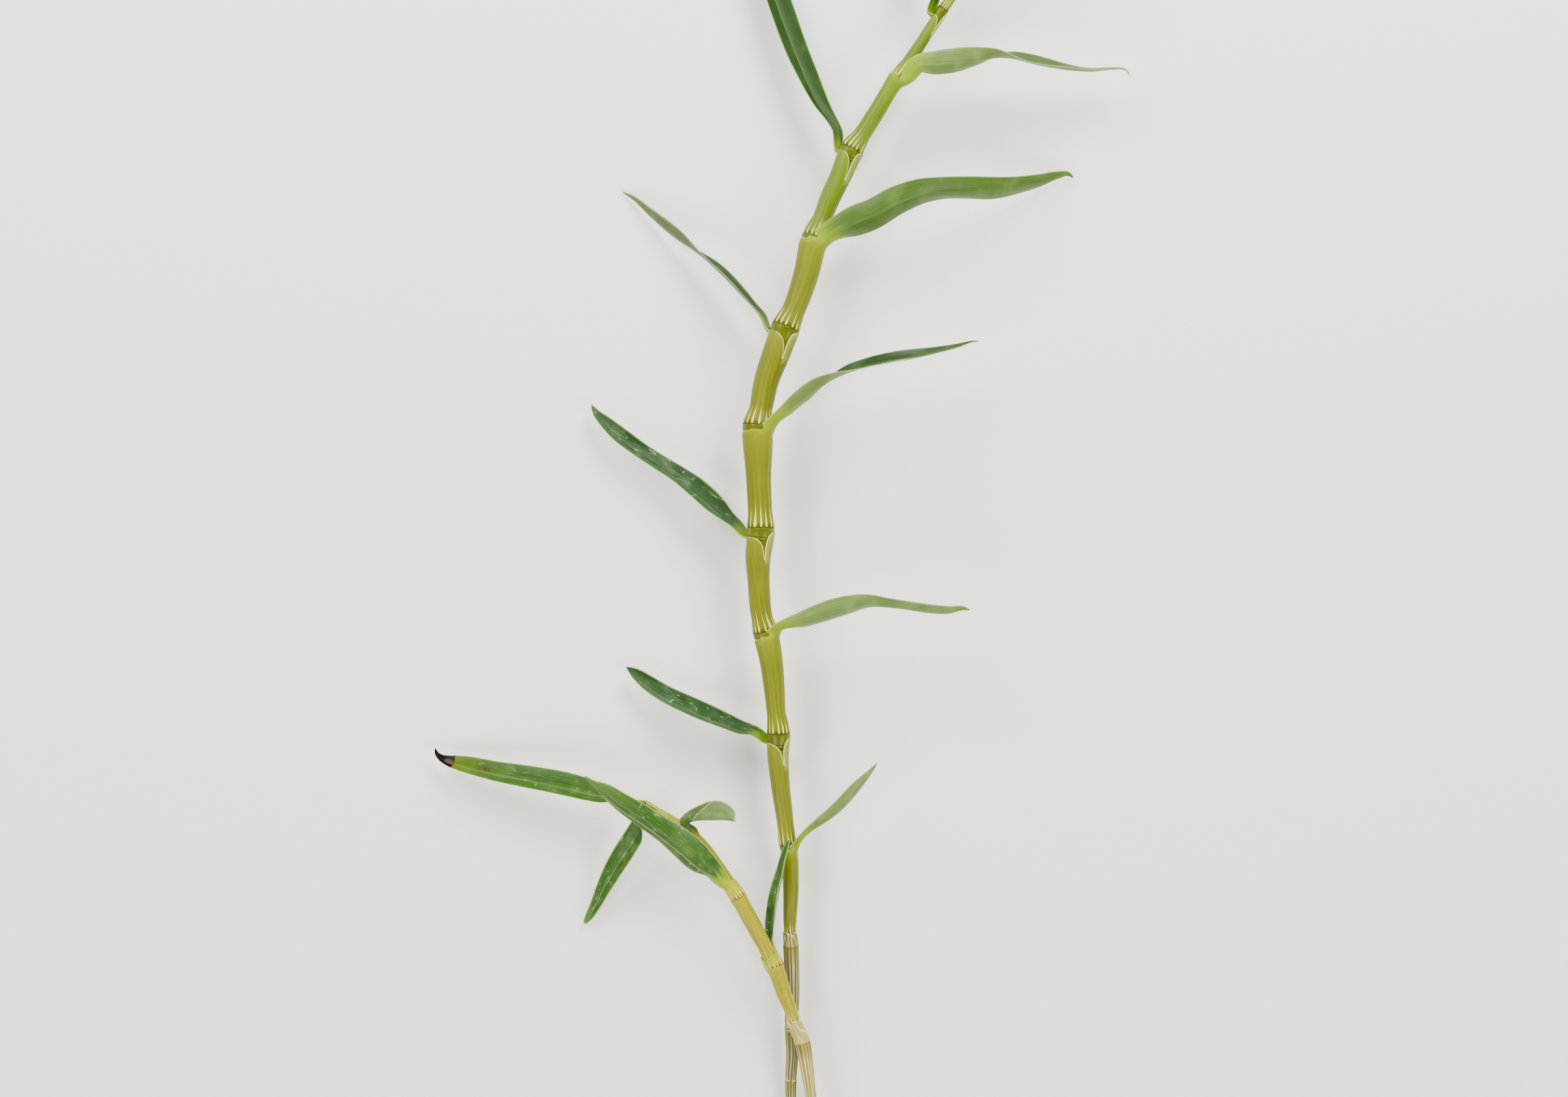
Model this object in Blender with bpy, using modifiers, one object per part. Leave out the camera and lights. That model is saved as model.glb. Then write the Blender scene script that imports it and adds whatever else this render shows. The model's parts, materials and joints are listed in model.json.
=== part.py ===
"""A dendrobium stem: two leafy canes of one plant on a short rootstock, cut and lying on its leaves.

Metres, +Z up. The tall cane runs along +Y and the short one crosses over its foot. The origin is the
flat spot under the rootstock. All routes below are in millimetres, as they look from EYE, a point
straight above the plant: place() moves a point that lies higher in towards that line of sight.
"""

import math
from typing import NamedTuple

import bmesh
import bpy
import numpy as np
from mathutils import Vector

MM = 0.001
PLANT = "dendrobium_stem"

# The eye above the plant
EYE = Vector((-5.4, 277.9, 1100.0))

# Walls, the gap between neighbours, and the share of a radius that a flat facet leaves free inside it
LEAF_WALL = 0.7
PAPERY_WALL = 0.65
GAP = 0.3
FACET = 0.965

# A sheath from the ring below: it is foot-shaped at its start and opens in a notch opposite the blade
FOOT = 6.4
FOOT_SHARE = 0.2
NOTCH = 16.0
NOTCH_SHARE = 0.36
MOUTH_BELOW_RING = 5.0
MOUTH_SHARE = 0.12
MOUTH_ANGLE = 84.0
NOTCH_ROWS = (0.0, 0.36, 0.7, 1.0)
NOTCH_ANGLES = (180.0, 150.0, 117.0, MOUTH_ANGLE)
MOUTH_FLARE = 0.12

# A blade: it clears the ring, opens from the mouth's arc to its own channel and leans away from the cane
RING_CLEARANCE = 4.0
LEAD_IN = 3.0
BLADE_OPENS = 8.0
BLADE_LEANS = 14.0
CREASE = 0.5

# A cane: full width at a bare ring, slim in the sheaths and slimmer by NOTCH_EASE in a notch
RING_STEP = 2.2
SHOULDER = 0.15
SHOULDER_EASE = 0.2
NOTCH_EASE = 0.2
CANE_SHORT_OF_TOP = 4.5

# How finely the pieces are cut
SHEATH_COLUMNS = 12
BASE_ROWS = (2.4, 5.4)
BLADE_ROWS = (0.13, 0.22, 0.33, 0.45, 0.57, 0.7, 0.83, 0.94, 1.0)
ROOTSTOCK_STEPS = 16


class Knot(NamedTuple):
    """A point on a cane's axis, with the width over its sheath and the name of a ring that lies there."""

    x: float
    y: float
    height: float
    width: float
    ring: str = ""


class Leaf(NamedTuple):
    """A leaf: its tubular sheath from one ring to the next, and its blade beyond.

    side is +1 where the blade leaves to the right and -1 to the left, lift is how far it turns up
    towards the eye in degrees, and curl is the angle of the blade's edges. A station is
    (x, y, height, half width, roll), where roll 0 shows the upper face to the eye and 180 the lower.
    """

    name: str
    start: str
    start_gap: float
    ring: str
    side: int
    lift: float
    curl: float
    stations: tuple


class Wrap(NamedTuple):
    """A dry papery sheath without a blade, from one ring to another, with an offset from each."""

    name: str
    start: str
    start_gap: float
    end: str
    end_gap: float


TALL_CANE = (
    Knot(-1.6, 4.6, 7.0, 4.8, "foot"),
    Knot(-2.2, 20.8, 7.6, 4.8),
    Knot(-2.2, 29.4, 8.0, 5.1, "K"),
    Knot(-1.6, 40.6, 8.6, 5.4),
    Knot(-1.9, 51.2, 9.2, 5.8, "J"),
    Knot(-1.6, 71.0, 10.6, 6.7),
    Knot(-2.2, 91.5, 12.8, 7.0, "I"),
    Knot(-2.6, 99.2, 13.6, 5.8),
    Knot(-2.2, 119.0, 16.0, 7.4),
    Knot(-2.9, 135.0, 18.0, 7.8),
    Knot(-3.8, 140.5, 18.6, 8.3, "H"),
    Knot(-4.8, 149.4, 19.4, 7.7),
    Knot(-7.4, 170.2, 21.0, 9.0),
    Knot(-8.3, 183.0, 21.8, 9.9),
    Knot(-8.0, 192.3, 22.4, 10.9, "G"),
    Knot(-9.0, 200.6, 22.8, 8.6),
    Knot(-10.2, 215.0, 23.4, 9.9),
    Knot(-11.8, 227.8, 23.9, 10.9),
    Knot(-14.4, 240.0, 24.4, 11.8, "F"),
    Knot(-15.7, 245.4, 24.6, 9.9),
    Knot(-17.3, 263.0, 25.0, 10.2),
    Knot(-17.6, 272.6, 25.2, 11.5),
    Knot(-16.3, 288.6, 25.4, 12.8, "E"),
    Knot(-16.6, 295.0, 25.4, 11.0),
    Knot(-17.3, 311.0, 25.4, 11.5),
    Knot(-17.6, 327.0, 25.2, 13.8),
    Knot(-17.6, 336.6, 25.0, 14.1, "D"),
    Knot(-16.3, 343.0, 24.9, 10.6),
    Knot(-13.8, 355.8, 24.6, 11.5),
    Knot(-9.3, 368.6, 24.2, 12.8),
    Knot(-4.2, 382.4, 23.8, 13.1, "C"),
    Knot(-1.0, 389.4, 23.5, 10.6),
    Knot(5.1, 407.0, 22.8, 11.8),
    Knot(8.0, 419.8, 22.3, 12.5),
    Knot(9.6, 425.6, 22.0, 11.8, "B"),
    Knot(12.5, 432.6, 21.8, 8.6),
    Knot(16.3, 442.2, 21.4, 9.6),
    Knot(20.8, 451.8, 21.0, 9.9),
    Knot(26.6, 465.3, 20.5, 11.2, "A"),
    Knot(31.0, 471.7, 20.3, 8.0),
    Knot(38.7, 483.8, 20.0, 7.7),
    Knot(44.5, 493.4, 19.7, 7.4),
    Knot(47.7, 498.2, 19.6, 8.3, "Z"),
    Knot(52.8, 505.6, 19.3, 6.1),
    Knot(59.5, 515.8, 19.0, 5.4),
    Knot(65.6, 525.4, 18.7, 5.3),
    Knot(69.4, 531.2, 18.5, 5.4, "Y"),
    Knot(73.3, 536.3, 18.4, 4.4),
    Knot(77.5, 541.6, 18.4, 4.0, "top"),
)

SHORT_CANE = (
    Knot(8.6, 2.9, 12.5, 4.5, "foot"),
    Knot(7.0, 23.0, 14.0, 4.8),
    Knot(5.1, 35.8, 15.4, 6.1),
    Knot(3.2, 46.4, 16.6, 7.0, "1"),
    Knot(0.0, 55.0, 17.7, 6.4),
    Knot(-2.2, 61.4, 18.6, 5.8),
    Knot(-5.4, 69.4, 20.0, 7.0),
    Knot(-7.4, 75.8, 21.2, 7.2),
    Knot(-9.9, 82.2, 22.4, 8.3, "2"),
    Knot(-13.8, 90.2, 23.8, 6.6),
    Knot(-18.9, 99.8, 25.0, 7.2),
    Knot(-22.4, 106.2, 25.6, 7.4),
    Knot(-26.6, 113.9, 26.0, 7.2, "3"),
    Knot(-31.7, 121.6, 25.9, 6.1),
    Knot(-36.8, 129.3, 25.5, 5.9),
    Knot(-42.6, 135.7, 25.0, 5.8),
    Knot(-49.6, 142.1, 24.2, 5.6, "4"),
    Knot(-57.6, 147.8, 23.4, 4.8),
    Knot(-65.6, 152.6, 22.8, 4.5),
    Knot(-72.0, 156.5, 22.3, 4.5, "5"),
    Knot(-75.8, 158.4, 22.1, 4.0),
    Knot(-79.0, 159.7, 22.0, 3.8, "top"),
)

# The rootstock: a short thick piece that lies across the feet of both canes, as (x, y, height, radius)
ROOTSTOCK = (
    (-10.5, -0.6, 4.3, 2.6),
    (-8.0, -0.4, 4.6, 4.6),
    (-4.0, 0.0, 5.0, 5.6),
    (-0.5, 0.0, 5.2, 6.0),
    (3.0, 0.0, 6.2, 5.8),
    (6.0, 0.0, 8.6, 5.5),
    (9.0, 0.2, 11.2, 5.6),
    (11.5, 0.3, 12.8, 4.4),
    (13.2, 0.3, 13.8, 2.4),
)

TALL_LEAVES = (
    Leaf(
        "tall_leaf_01", "I", 8.4, "H", 1, 25, 40,
        (
            (7.4, 145.6, 26.0, 3.5, 120),
            (11.2, 148.2, 28.0, 4.0, 128),
            (20.8, 155.5, 31.5, 4.6, 130),
            (30.4, 166.4, 33.0, 4.2, 128),
            (35.2, 172.5, 32.5, 2.6, 125),
            (38.4, 177.3, 31.5, 0.5, 120),
        ),
    ),
    Leaf(
        "tall_leaf_02", "H", 0.5, "G", -1, -40, 40,
        (
            (-19.8, 191.0, 17.5, 4.2, 48),
            (-25.6, 192.6, 16.5, 4.9, 44),
            (-33.6, 195.8, 15.0, 5.5, 42),
            (-43.2, 199.7, 13.0, 5.9, 40),
            (-52.8, 204.2, 11.0, 5.9, 40),
            (-62.4, 209.3, 9.2, 5.4, 38),
            (-70.4, 214.7, 7.8, 4.6, 34),
            (-75.8, 219.2, 6.8, 3.0, 34),
            (-79.4, 222.4, 6.0, 0.5, 34),
        ),
    ),
    Leaf(
        "tall_leaf_03", "G", 0.5, "F", 1, 32, 36,
        (
            (-1.6, 242.2, 34.0, 5.2, 136),
            (5.4, 244.8, 37.0, 5.8, 141),
            (14.4, 248.0, 40.0, 6.3, 144),
            (24.0, 250.7, 42.0, 6.4, 138),
            (33.6, 252.5, 42.5, 6.3, 123),
            (43.2, 251.8, 41.5, 6.0, 113),
            (52.8, 250.6, 39.5, 5.5, 110),
            (62.4, 249.0, 37.0, 4.9, 112),
            (72.0, 248.6, 34.5, 3.8, 117),
            (78.4, 249.6, 33.0, 2.3, 117),
            (81.9, 249.0, 32.0, 0.5, 115),
        ),
    ),
    Leaf(
        "tall_leaf_04", "F", 0.5, "E", -1, -40, 44,
        (
            (-29.8, 289.0, 18.0, 4.6, 45),
            (-38.4, 297.0, 15.0, 6.3, 32),
            (-46.4, 304.0, 13.0, 6.6, 34),
            (-56.0, 311.0, 10.8, 6.5, 45),
            (-65.6, 317.1, 9.6, 6.4, 47),
            (-75.2, 323.2, 9.0, 6.2, 46),
            (-83.2, 329.6, 8.0, 5.6, 40),
            (-89.6, 336.0, 6.8, 4.4, 42),
            (-93.8, 341.1, 5.8, 2.6, 42),
            (-95.7, 345.3, 5.0, 0.5, 42),
        ),
    ),
    Leaf(
        "tall_leaf_05", "E", 0.5, "D", 1, 32, 36,
        (
            (-5.4, 341.8, 34.5, 5.4, 135),
            (0.0, 346.9, 37.0, 5.8, 131),
            (6.4, 351.4, 39.5, 6.0, 128),
            (12.8, 355.8, 41.0, 6.0, 112),
            (19.5, 359.7, 42.0, 5.8, 92),
            (27.2, 362.9, 42.0, 5.7, 70),
            (36.8, 365.8, 41.0, 5.4, 61),
            (46.4, 367.8, 39.0, 5.0, 58),
            (57.6, 369.6, 36.0, 4.3, 53),
            (68.8, 371.7, 32.5, 3.3, 57),
            (76.8, 373.4, 30.0, 2.2, 60),
            (82.9, 375.0, 28.0, 1.1, 65),
            (86.4, 375.0, 27.0, 0.4, 65),
        ),
    ),
    Leaf(
        "tall_leaf_06", "D", 0.5, "C", -1, -40, 34,
        (
            (-17.0, 387.8, 18.0, 4.2, 66),
            (-25.6, 398.1, 16.5, 5.4, 67),
            (-32.0, 405.4, 15.0, 5.6, 67),
            (-38.4, 411.5, 13.2, 5.5, 70),
            (-45.8, 417.3, 11.2, 5.2, 85),
            (-52.8, 422.1, 9.6, 4.8, 108),
            (-60.8, 428.2, 7.4, 4.2, 118),
            (-68.8, 434.9, 4.8, 3.2, 120),
            (-75.8, 441.6, 2.6, 1.8, 120),
            (-81.3, 445.1, 0.4, 0.4, 120),
        ),
    ),
    Leaf(
        "tall_leaf_07", "C", 0.5, "B", 1, 32, 36,
        (
            (21.4, 428.5, 29.5, 6.4, 146),
            (27.8, 433.0, 32.5, 7.8, 158),
            (36.8, 436.5, 36.0, 8.4, 162),
            (48.0, 441.6, 38.0, 8.2, 150),
            (59.2, 445.4, 37.5, 7.8, 138),
            (70.4, 446.7, 34.5, 7.4, 131),
            (81.6, 446.9, 30.0, 7.0, 133),
            (94.4, 447.2, 23.5, 6.4, 139),
            (105.6, 448.5, 17.0, 5.4, 135),
            (115.2, 450.2, 11.0, 4.2, 134),
            (123.2, 452.6, 6.0, 2.6, 130),
            (127.7, 453.1, 3.0, 1.5, 128),
            (130.2, 451.5, 0.4, 0.4, 125),
        ),
    ),
    Leaf(
        "tall_leaf_08", "B", 0.5, "A", -1, -40, 40,
        (
            (18.2, 473.6, 15.8, 4.2, 46),
            (9.9, 487.0, 14.0, 5.6, 36),
            (2.6, 503.0, 12.5, 6.7, 30),
            (-3.8, 519.0, 11.0, 7.2, 27),
            (-9.6, 535.0, 9.5, 7.2, 27),
            (-14.7, 552.6, 8.0, 6.4, 27),
            (-18.9, 567.0, 6.5, 4.2, 28),
            (-20.8, 575.0, 5.6, 2.0, 28),
            (-21.8, 578.9, 5.0, 0.5, 28),
        ),
    ),
    Leaf(
        "tall_leaf_09", "A", 0.5, "Z", 1, 30, 36,
        (
            (57.6, 504.3, 25.5, 6.9, 155),
            (67.2, 506.2, 28.5, 7.1, 150),
            (76.8, 507.2, 30.5, 6.9, 138),
            (86.4, 508.2, 31.0, 6.6, 118),
            (92.8, 509.3, 31.0, 6.4, 97),
            (100.8, 508.8, 30.0, 6.1, 70),
            (110.4, 506.6, 28.5, 5.6, 57),
            (120.0, 504.5, 26.5, 5.0, 61),
            (129.6, 502.9, 24.0, 4.3, 68),
            (139.2, 502.2, 21.5, 3.5, 72),
            (148.8, 503.0, 19.0, 2.3, 76),
            (154.6, 502.1, 17.5, 1.2, 78),
            (157.1, 498.9, 16.5, 0.4, 80),
        ),
    ),
    Leaf(
        "tall_leaf_10", "Z", 0.5, "Y", -1, -25, 40,
        (
            (65.9, 540.8, 19.5, 3.6, 50),
            (63.0, 554.2, 21.0, 5.2, 40),
            (59.2, 568.6, 21.0, 5.4, 36),
            (55.0, 583.0, 20.0, 3.8, 36),
            (52.2, 592.6, 19.0, 1.6, 36),
            (51.2, 596.5, 18.5, 0.5, 36),
        ),
    ),
    Leaf(
        "tall_leaf_11", "Y", 0.5, "top", 1, 30, 40,
        (
            (84.8, 543.7, 24.0, 4.6, 140),
            (96.0, 551.7, 27.5, 5.4, 145),
            (107.2, 558.1, 28.0, 5.2, 142),
            (118.4, 563.8, 26.0, 3.6, 138),
            (125.8, 567.0, 23.5, 1.6, 135),
            (128.3, 568.0, 22.5, 0.5, 135),
        ),
    ),
)

SHORT_LEAVES = (
    Leaf(
        "short_leaf_1", "1", 13.2, "2", 1, -50, 40,
        (
            (-11.6, 92.0, 16.8, 3.0, 44),
            (-12.5, 99.8, 18.2, 4.0, 56),
            (-11.8, 106.2, 20.0, 4.6, 60),
            (-10.6, 113.3, 22.0, 4.6, 62),
            (-9.0, 119.7, 23.5, 4.4, 64),
            (-7.0, 126.1, 25.0, 4.0, 66),
            (-5.4, 132.5, 26.5, 3.4, 66),
            (-3.8, 138.2, 28.0, 2.0, 60),
            (-2.6, 141.8, 29.0, 0.5, 60),
        ),
    ),
    Leaf(
        "short_leaf_2", "2", 0.5, "3", -1, 50, 40,
        (
            (-38.4, 126.1, 33.0, 6.0, 165),
            (-44.8, 131.2, 35.0, 7.6, 168),
            (-52.8, 138.2, 35.6, 7.4, 165),
            (-62.4, 145.6, 35.0, 7.0, 160),
            (-72.0, 152.3, 34.0, 6.5, 160),
            (-81.6, 158.1, 33.0, 5.6, 158),
            (-89.6, 163.5, 32.0, 4.2, 155),
            (-95.0, 167.0, 31.5, 2.5, 150),
            (-98.9, 171.2, 32.0, 0.5, 150),
        ),
    ),
    Leaf(
        "short_leaf_3", "3", 0.5, "4", 1, 20, 66,
        (
            (-49.0, 148.8, 28.0, 3.4, 112),
            (-47.0, 150.1, 30.5, 4.6, 115),
            (-43.2, 150.1, 34.0, 6.6, 118),
            (-38.4, 150.1, 37.0, 7.4, 120),
            (-33.6, 150.7, 40.0, 6.6, 122),
            (-30.4, 151.4, 42.0, 3.4, 125),
            (-28.8, 151.0, 43.0, 0.5, 125),
        ),
    ),
    Leaf(
        "short_leaf_4", "4", 0.5, "5", -1, -40, 36,
        (
            (-72.6, 150.1, 18.5, 3.4, 34),
            (-74.2, 146.2, 17.0, 4.4, 28),
            (-79.0, 137.9, 14.0, 5.2, 24),
            (-83.2, 131.2, 11.5, 5.0, 22),
            (-87.0, 123.8, 9.0, 4.5, 22),
            (-90.2, 117.4, 7.0, 3.9, 20),
            (-93.4, 111.0, 5.2, 3.1, 20),
            (-96.6, 105.3, 3.8, 2.2, 20),
            (-98.9, 102.1, 3.0, 1.0, 20),
        ),
    ),
    Leaf(
        "short_leaf_5", "5", 0.5, "top", -1, 10, 60,
        (
            (-84.8, 161.3, 20.5, 6.2, 30),
            (-94.4, 162.9, 19.0, 8.0, 28),
            (-104.0, 164.8, 17.5, 8.2, 27),
            (-116.8, 167.7, 15.5, 8.0, 26),
            (-129.6, 170.2, 13.0, 7.4, 25),
            (-142.4, 172.5, 10.5, 6.4, 24),
            (-152.0, 174.7, 8.5, 5.0, 24),
            (-159.0, 176.6, 7.0, 3.4, 25),
            (-163.2, 177.6, 6.2, 1.8, 30),
            (-166.4, 178.9, 6.0, 1.2, 35),
            (-169.0, 181.8, 6.0, 0.5, 40),
        ),
    ),
)

TALL_WRAPS = (
    Wrap("tall_papery_sheath_1", "foot", 0.6, "K", 0.6),
    Wrap("tall_papery_sheath_2", "K", 1.3, "J", 3.8),
    Wrap("tall_papery_sheath_3", "J", 4.5, "I", 7.7),
)
SHORT_WRAPS = (Wrap("short_papery_sheath", "foot", 0.6, "1", 12.5),)

# Colours as red, green, blue shares of light
CANE_OLIVE = (0.30, 0.27, 0.02)
SHEATH_OLIVE = (0.37, 0.35, 0.04)
YOUNG_YELLOW = (0.50, 0.46, 0.06)
LEAF_GREEN = (0.08, 0.20, 0.04)
LEAF_GREY_GREEN = (0.25, 0.38, 0.14)
PAPERY_TAN = (0.62, 0.54, 0.42)
ROOT_BROWN = (0.30, 0.24, 0.12)


def place(x, y, height):
    """The point at that height which the eye sees at (x, y) on the ground, in millimetres."""
    nearness = (EYE.z - height) / EYE.z
    return np.array((EYE.x + (x - EYE.x) * nearness, EYE.y + (y - EYE.y) * nearness, height))


def unit(vector):
    """The vector at length one."""
    return vector / np.linalg.norm(vector)


class Route:
    """A smooth curve through rows of numbers, whose first three are a place. Distances are along it."""

    def __init__(self, rows):
        self.rows = np.array(rows, float)
        steps = np.linalg.norm(np.diff(self.rows[:, :3], axis=0), axis=1)
        self.marks = np.concatenate(([0.0], np.cumsum(steps)))
        rates = np.diff(self.rows, axis=0) / steps[:, None]
        self.slopes = np.vstack((rates[:1], rates))
        for i in range(1, len(rates)):
            before, after = steps[i - 1], steps[i]
            self.slopes[i] = (rates[i - 1] * after + rates[i] * before) / (before + after)

    @property
    def length(self):
        """The distance from the first row to the last."""
        return self.marks[-1]

    def at(self, distance):
        """(row, unit direction) at a distance, by a cubic between the two rows on either side."""
        i = int(np.clip(np.searchsorted(self.marks, distance) - 1, 0, len(self.marks) - 2))
        span = self.marks[i + 1] - self.marks[i]
        t = (distance - self.marks[i]) / span
        a, b = self.rows[i], self.rows[i + 1]
        m, n = self.slopes[i] * span, self.slopes[i + 1] * span
        row = (
            (2 * t**3 - 3 * t**2 + 1) * a
            + (t**3 - 2 * t**2 + t) * m
            + (3 * t**2 - 2 * t**3) * b
            + (t**3 - t**2) * n
        )
        rate = (6 * t**2 - 6 * t) * (a - b) + (3 * t**2 - 4 * t + 1) * m + (3 * t**2 - 2 * t) * n
        return row, unit(rate[:3])


def facing(direction, roll, side):
    """The direction from a leaf's midrib towards its upper face, where the leaf runs along direction."""
    up = unit(np.array((0.0, 0.0, 1.0)) - direction[2] * direction)
    across = side * np.cross(up, direction)
    angle = math.radians(roll)
    return math.cos(angle) * up + math.sin(angle) * across


class Cane:
    """A cane's axis, its width over the sheaths, and where its rings lie."""

    def __init__(self, knots, bare_rings):
        self.route = Route([place(k.x, k.y, k.height) for k in knots])
        self.widths = [k.width for k in knots]
        self.rings = {k.ring: m for k, m in zip(knots, self.route.marks) if k.ring}
        self.bare_rings = bare_rings

    def outer_radius(self, distance):
        """The radius over the sheath."""
        return 0.5 * float(np.interp(distance, self.route.marks, self.widths))

    def inner_radius(self, distance):
        """The cane's own radius inside its sheath, clear of the sheath's flat facets."""
        return FACET * (self.outer_radius(distance) - LEAF_WALL) - GAP

    def levels(self, start, end):
        """Distances for the rows of a sheath from start to the mouth below the ring at end."""
        length = end - start
        foot = start + min(FOOT, FOOT_SHARE * length)
        bottom = end - min(NOTCH, NOTCH_SHARE * length)
        mouth = end - min(MOUTH_BELOW_RING, MOUTH_SHARE * length)
        sheath = [start, foot, 0.5 * (foot + bottom)]
        return sheath + [bottom + share * (mouth - bottom) for share in NOTCH_ROWS]


def material(name, colour, roughness):
    """A Principled material."""
    made = bpy.data.materials.new(name)
    made.use_nodes = True
    made.diffuse_color = (*colour, 1.0)
    shader = made.node_tree.nodes["Principled BSDF"]
    shader.inputs["Base Color"].default_value = (*colour, 1.0)
    shader.inputs["Roughness"].default_value = roughness
    return made


def section(half, edge_angle, power, columns):
    """Offsets (across, towards the upper face) of a sheet's cross-section, from its left edge to its right.

    The sheet turns from flat at the midrib to edge_angle at its edges. Power 1 gives an arc, which
    closes to a tube at 180 degrees, and a lower power a channel with a crease at the midrib.
    """
    step = half / (columns // 2)
    across, up, side = 0.0, 0.0, [(0.0, 0.0)]
    for k in range(columns // 2):
        angle = math.radians(edge_angle) * ((k + 0.5) / (columns // 2)) ** power
        across += step * math.cos(angle)
        up += step * math.sin(angle)
        side.append((across, up))
    return [(-x, n) for x, n in reversed(side[1:])] + side


def sheet_row(sheet, midrib, direction, normal, outline):
    """Adds one row of vertices to the sheet, and returns them."""
    across = np.cross(direction, normal)
    return [sheet.verts.new(Vector(midrib + x * across + n * normal) * MM) for x, n in outline]


def join_rows(sheet, low, high, slot=0):
    """Fills between two rows. A closed row has one vertex fewer, and a blade row half the columns."""
    corners = []
    if len(high) * 2 == len(low) + 1:
        for j in range(len(high) - 1):
            a, b, c = low[2 * j : 2 * j + 3]
            corners += [(a, b, high[j]), (b, high[j + 1], high[j]), (b, c, high[j + 1])]
    else:
        columns = SHEATH_COLUMNS if len(low) >= SHEATH_COLUMNS else len(low) - 1
        for k in range(columns):
            a, b = low[k], low[(k + 1) % len(low)]
            c, d = high[(k + 1) % len(high)], high[k]
            corners += [(a, b, c), (a, c, d)]
    for three in corners:
        sheet.faces.new(three).material_index = slot


def tube_row(sheet, cane, distance, wall, turn, side, edge_angle=180.0):
    """A row of a sheath round the cane: whole where edge_angle is 180, and open behind above that."""
    row, direction = cane.route.at(distance)
    normal = facing(direction, turn, side)
    radius = cane.outer_radius(distance) - 0.5 * wall
    if edge_angle < 180.0:
        radius += MOUTH_FLARE
    step = math.pi / SHEATH_COLUMNS
    half = radius * math.radians(edge_angle) * math.sin(step) / step
    outline = section(half, edge_angle, 1.0, SHEATH_COLUMNS)
    if edge_angle == 180.0:
        outline = outline[:-1]
    return sheet_row(sheet, row - radius * normal, direction, normal, outline)


def blade_route(cane, leaf, mouth, ring):
    """The midrib beyond the mouth, as rows of a place, a half width and a roll, and the mouth's distance."""
    roll = 90.0 + leaf.lift
    rows = []
    for distance in (mouth - LEAD_IN, mouth):
        point, direction = cane.route.at(distance)
        radius = cane.outer_radius(distance) - 0.5 * LEAF_WALL + MOUTH_FLARE
        half = radius * math.radians(MOUTH_ANGLE)
        rows.append((*(point - radius * facing(direction, roll, leaf.side)), half, roll))
    point, direction = cane.route.at(ring)
    reach = cane.outer_radius(ring) + RING_CLEARANCE
    beside = point - reach * facing(direction, roll, leaf.side)
    first = leaf.stations[0]
    rows.append((*beside, 0.5 * (half + first[3]), 0.5 * (roll + first[4])))
    rows += [(*place(x, y, height), width, turn) for x, y, height, width, turn in leaf.stations]
    route = Route(rows)
    return route, route.marks[1]


def solid_sheet(sheet, name, wall, finishes, group):
    """Makes the sheet an object of that wall thickness, with its faces' materials in that order."""
    sheet.normal_update()
    mesh = bpy.data.meshes.new(name)
    sheet.to_mesh(mesh)
    sheet.free()
    mesh.shade_smooth()
    for finish in finishes:
        mesh.materials.append(finish)
    made = bpy.data.objects.new(name, mesh)
    group.objects.link(made)
    solid = made.modifiers.new("wall", "SOLIDIFY")
    solid.thickness = wall * MM
    solid.offset = 0.0
    return made


def make_leaf(cane, leaf, sheath_finish, blade_finish, group):
    """One leaf: a sheath closed up to its notch, the open mouth, and the blade out to its tip."""
    start = cane.rings[leaf.start] + leaf.start_gap
    ring = cane.rings[leaf.ring]
    levels = cane.levels(start, ring)
    roll = 90.0 + leaf.lift
    sheet = bmesh.new()
    closed = len(levels) - len(NOTCH_ANGLES)
    angles = (180.0,) * closed + NOTCH_ANGLES
    rows = [tube_row(sheet, cane, d, LEAF_WALL, roll, leaf.side, angle) for d, angle in zip(levels, angles)]
    route, base = blade_route(cane, leaf, levels[-1], ring)
    length = route.length - base
    cane_direction = cane.route.at(levels[-1])[1]
    for beyond in (*BASE_ROWS, *(share * length for share in BLADE_ROWS)):
        row, direction = route.at(base + beyond)
        openness = 1.0 - math.exp(-beyond / BLADE_OPENS)
        angle = MOUTH_ANGLE + (leaf.curl - MOUTH_ANGLE) * openness
        outline = section(row[3], angle, 1.0 - CREASE * openness, SHEATH_COLUMNS // 2)
        lean = min(1.0, beyond / BLADE_LEANS)
        direction = unit(lean * direction + (1.0 - lean) * cane_direction)
        normal = facing(direction, row[4], leaf.side)
        rows.append(sheet_row(sheet, row[:3], direction, normal, outline))
    for number, (low, high) in enumerate(zip(rows, rows[1:]), start=1):
        join_rows(sheet, low, high, 0 if number < len(levels) else 1)
    return solid_sheet(sheet, leaf.name, LEAF_WALL, (sheath_finish, blade_finish), group)


def make_wrap(cane, wrap, finish, group):
    """A papery sheath: a plain tube that follows the cane's width."""
    start = cane.rings[wrap.start] + wrap.start_gap
    end = cane.rings[wrap.end] + wrap.end_gap
    inside = [m for m in cane.route.marks if start + 2.0 < m < end - 2.0]
    sheet = bmesh.new()
    rows = [tube_row(sheet, cane, d, PAPERY_WALL, 90.0, 1) for d in (start, *inside, end)]
    for low, high in zip(rows, rows[1:]):
        join_rows(sheet, low, high)
    return solid_sheet(sheet, wrap.name, PAPERY_WALL, (finish,), group)


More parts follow.
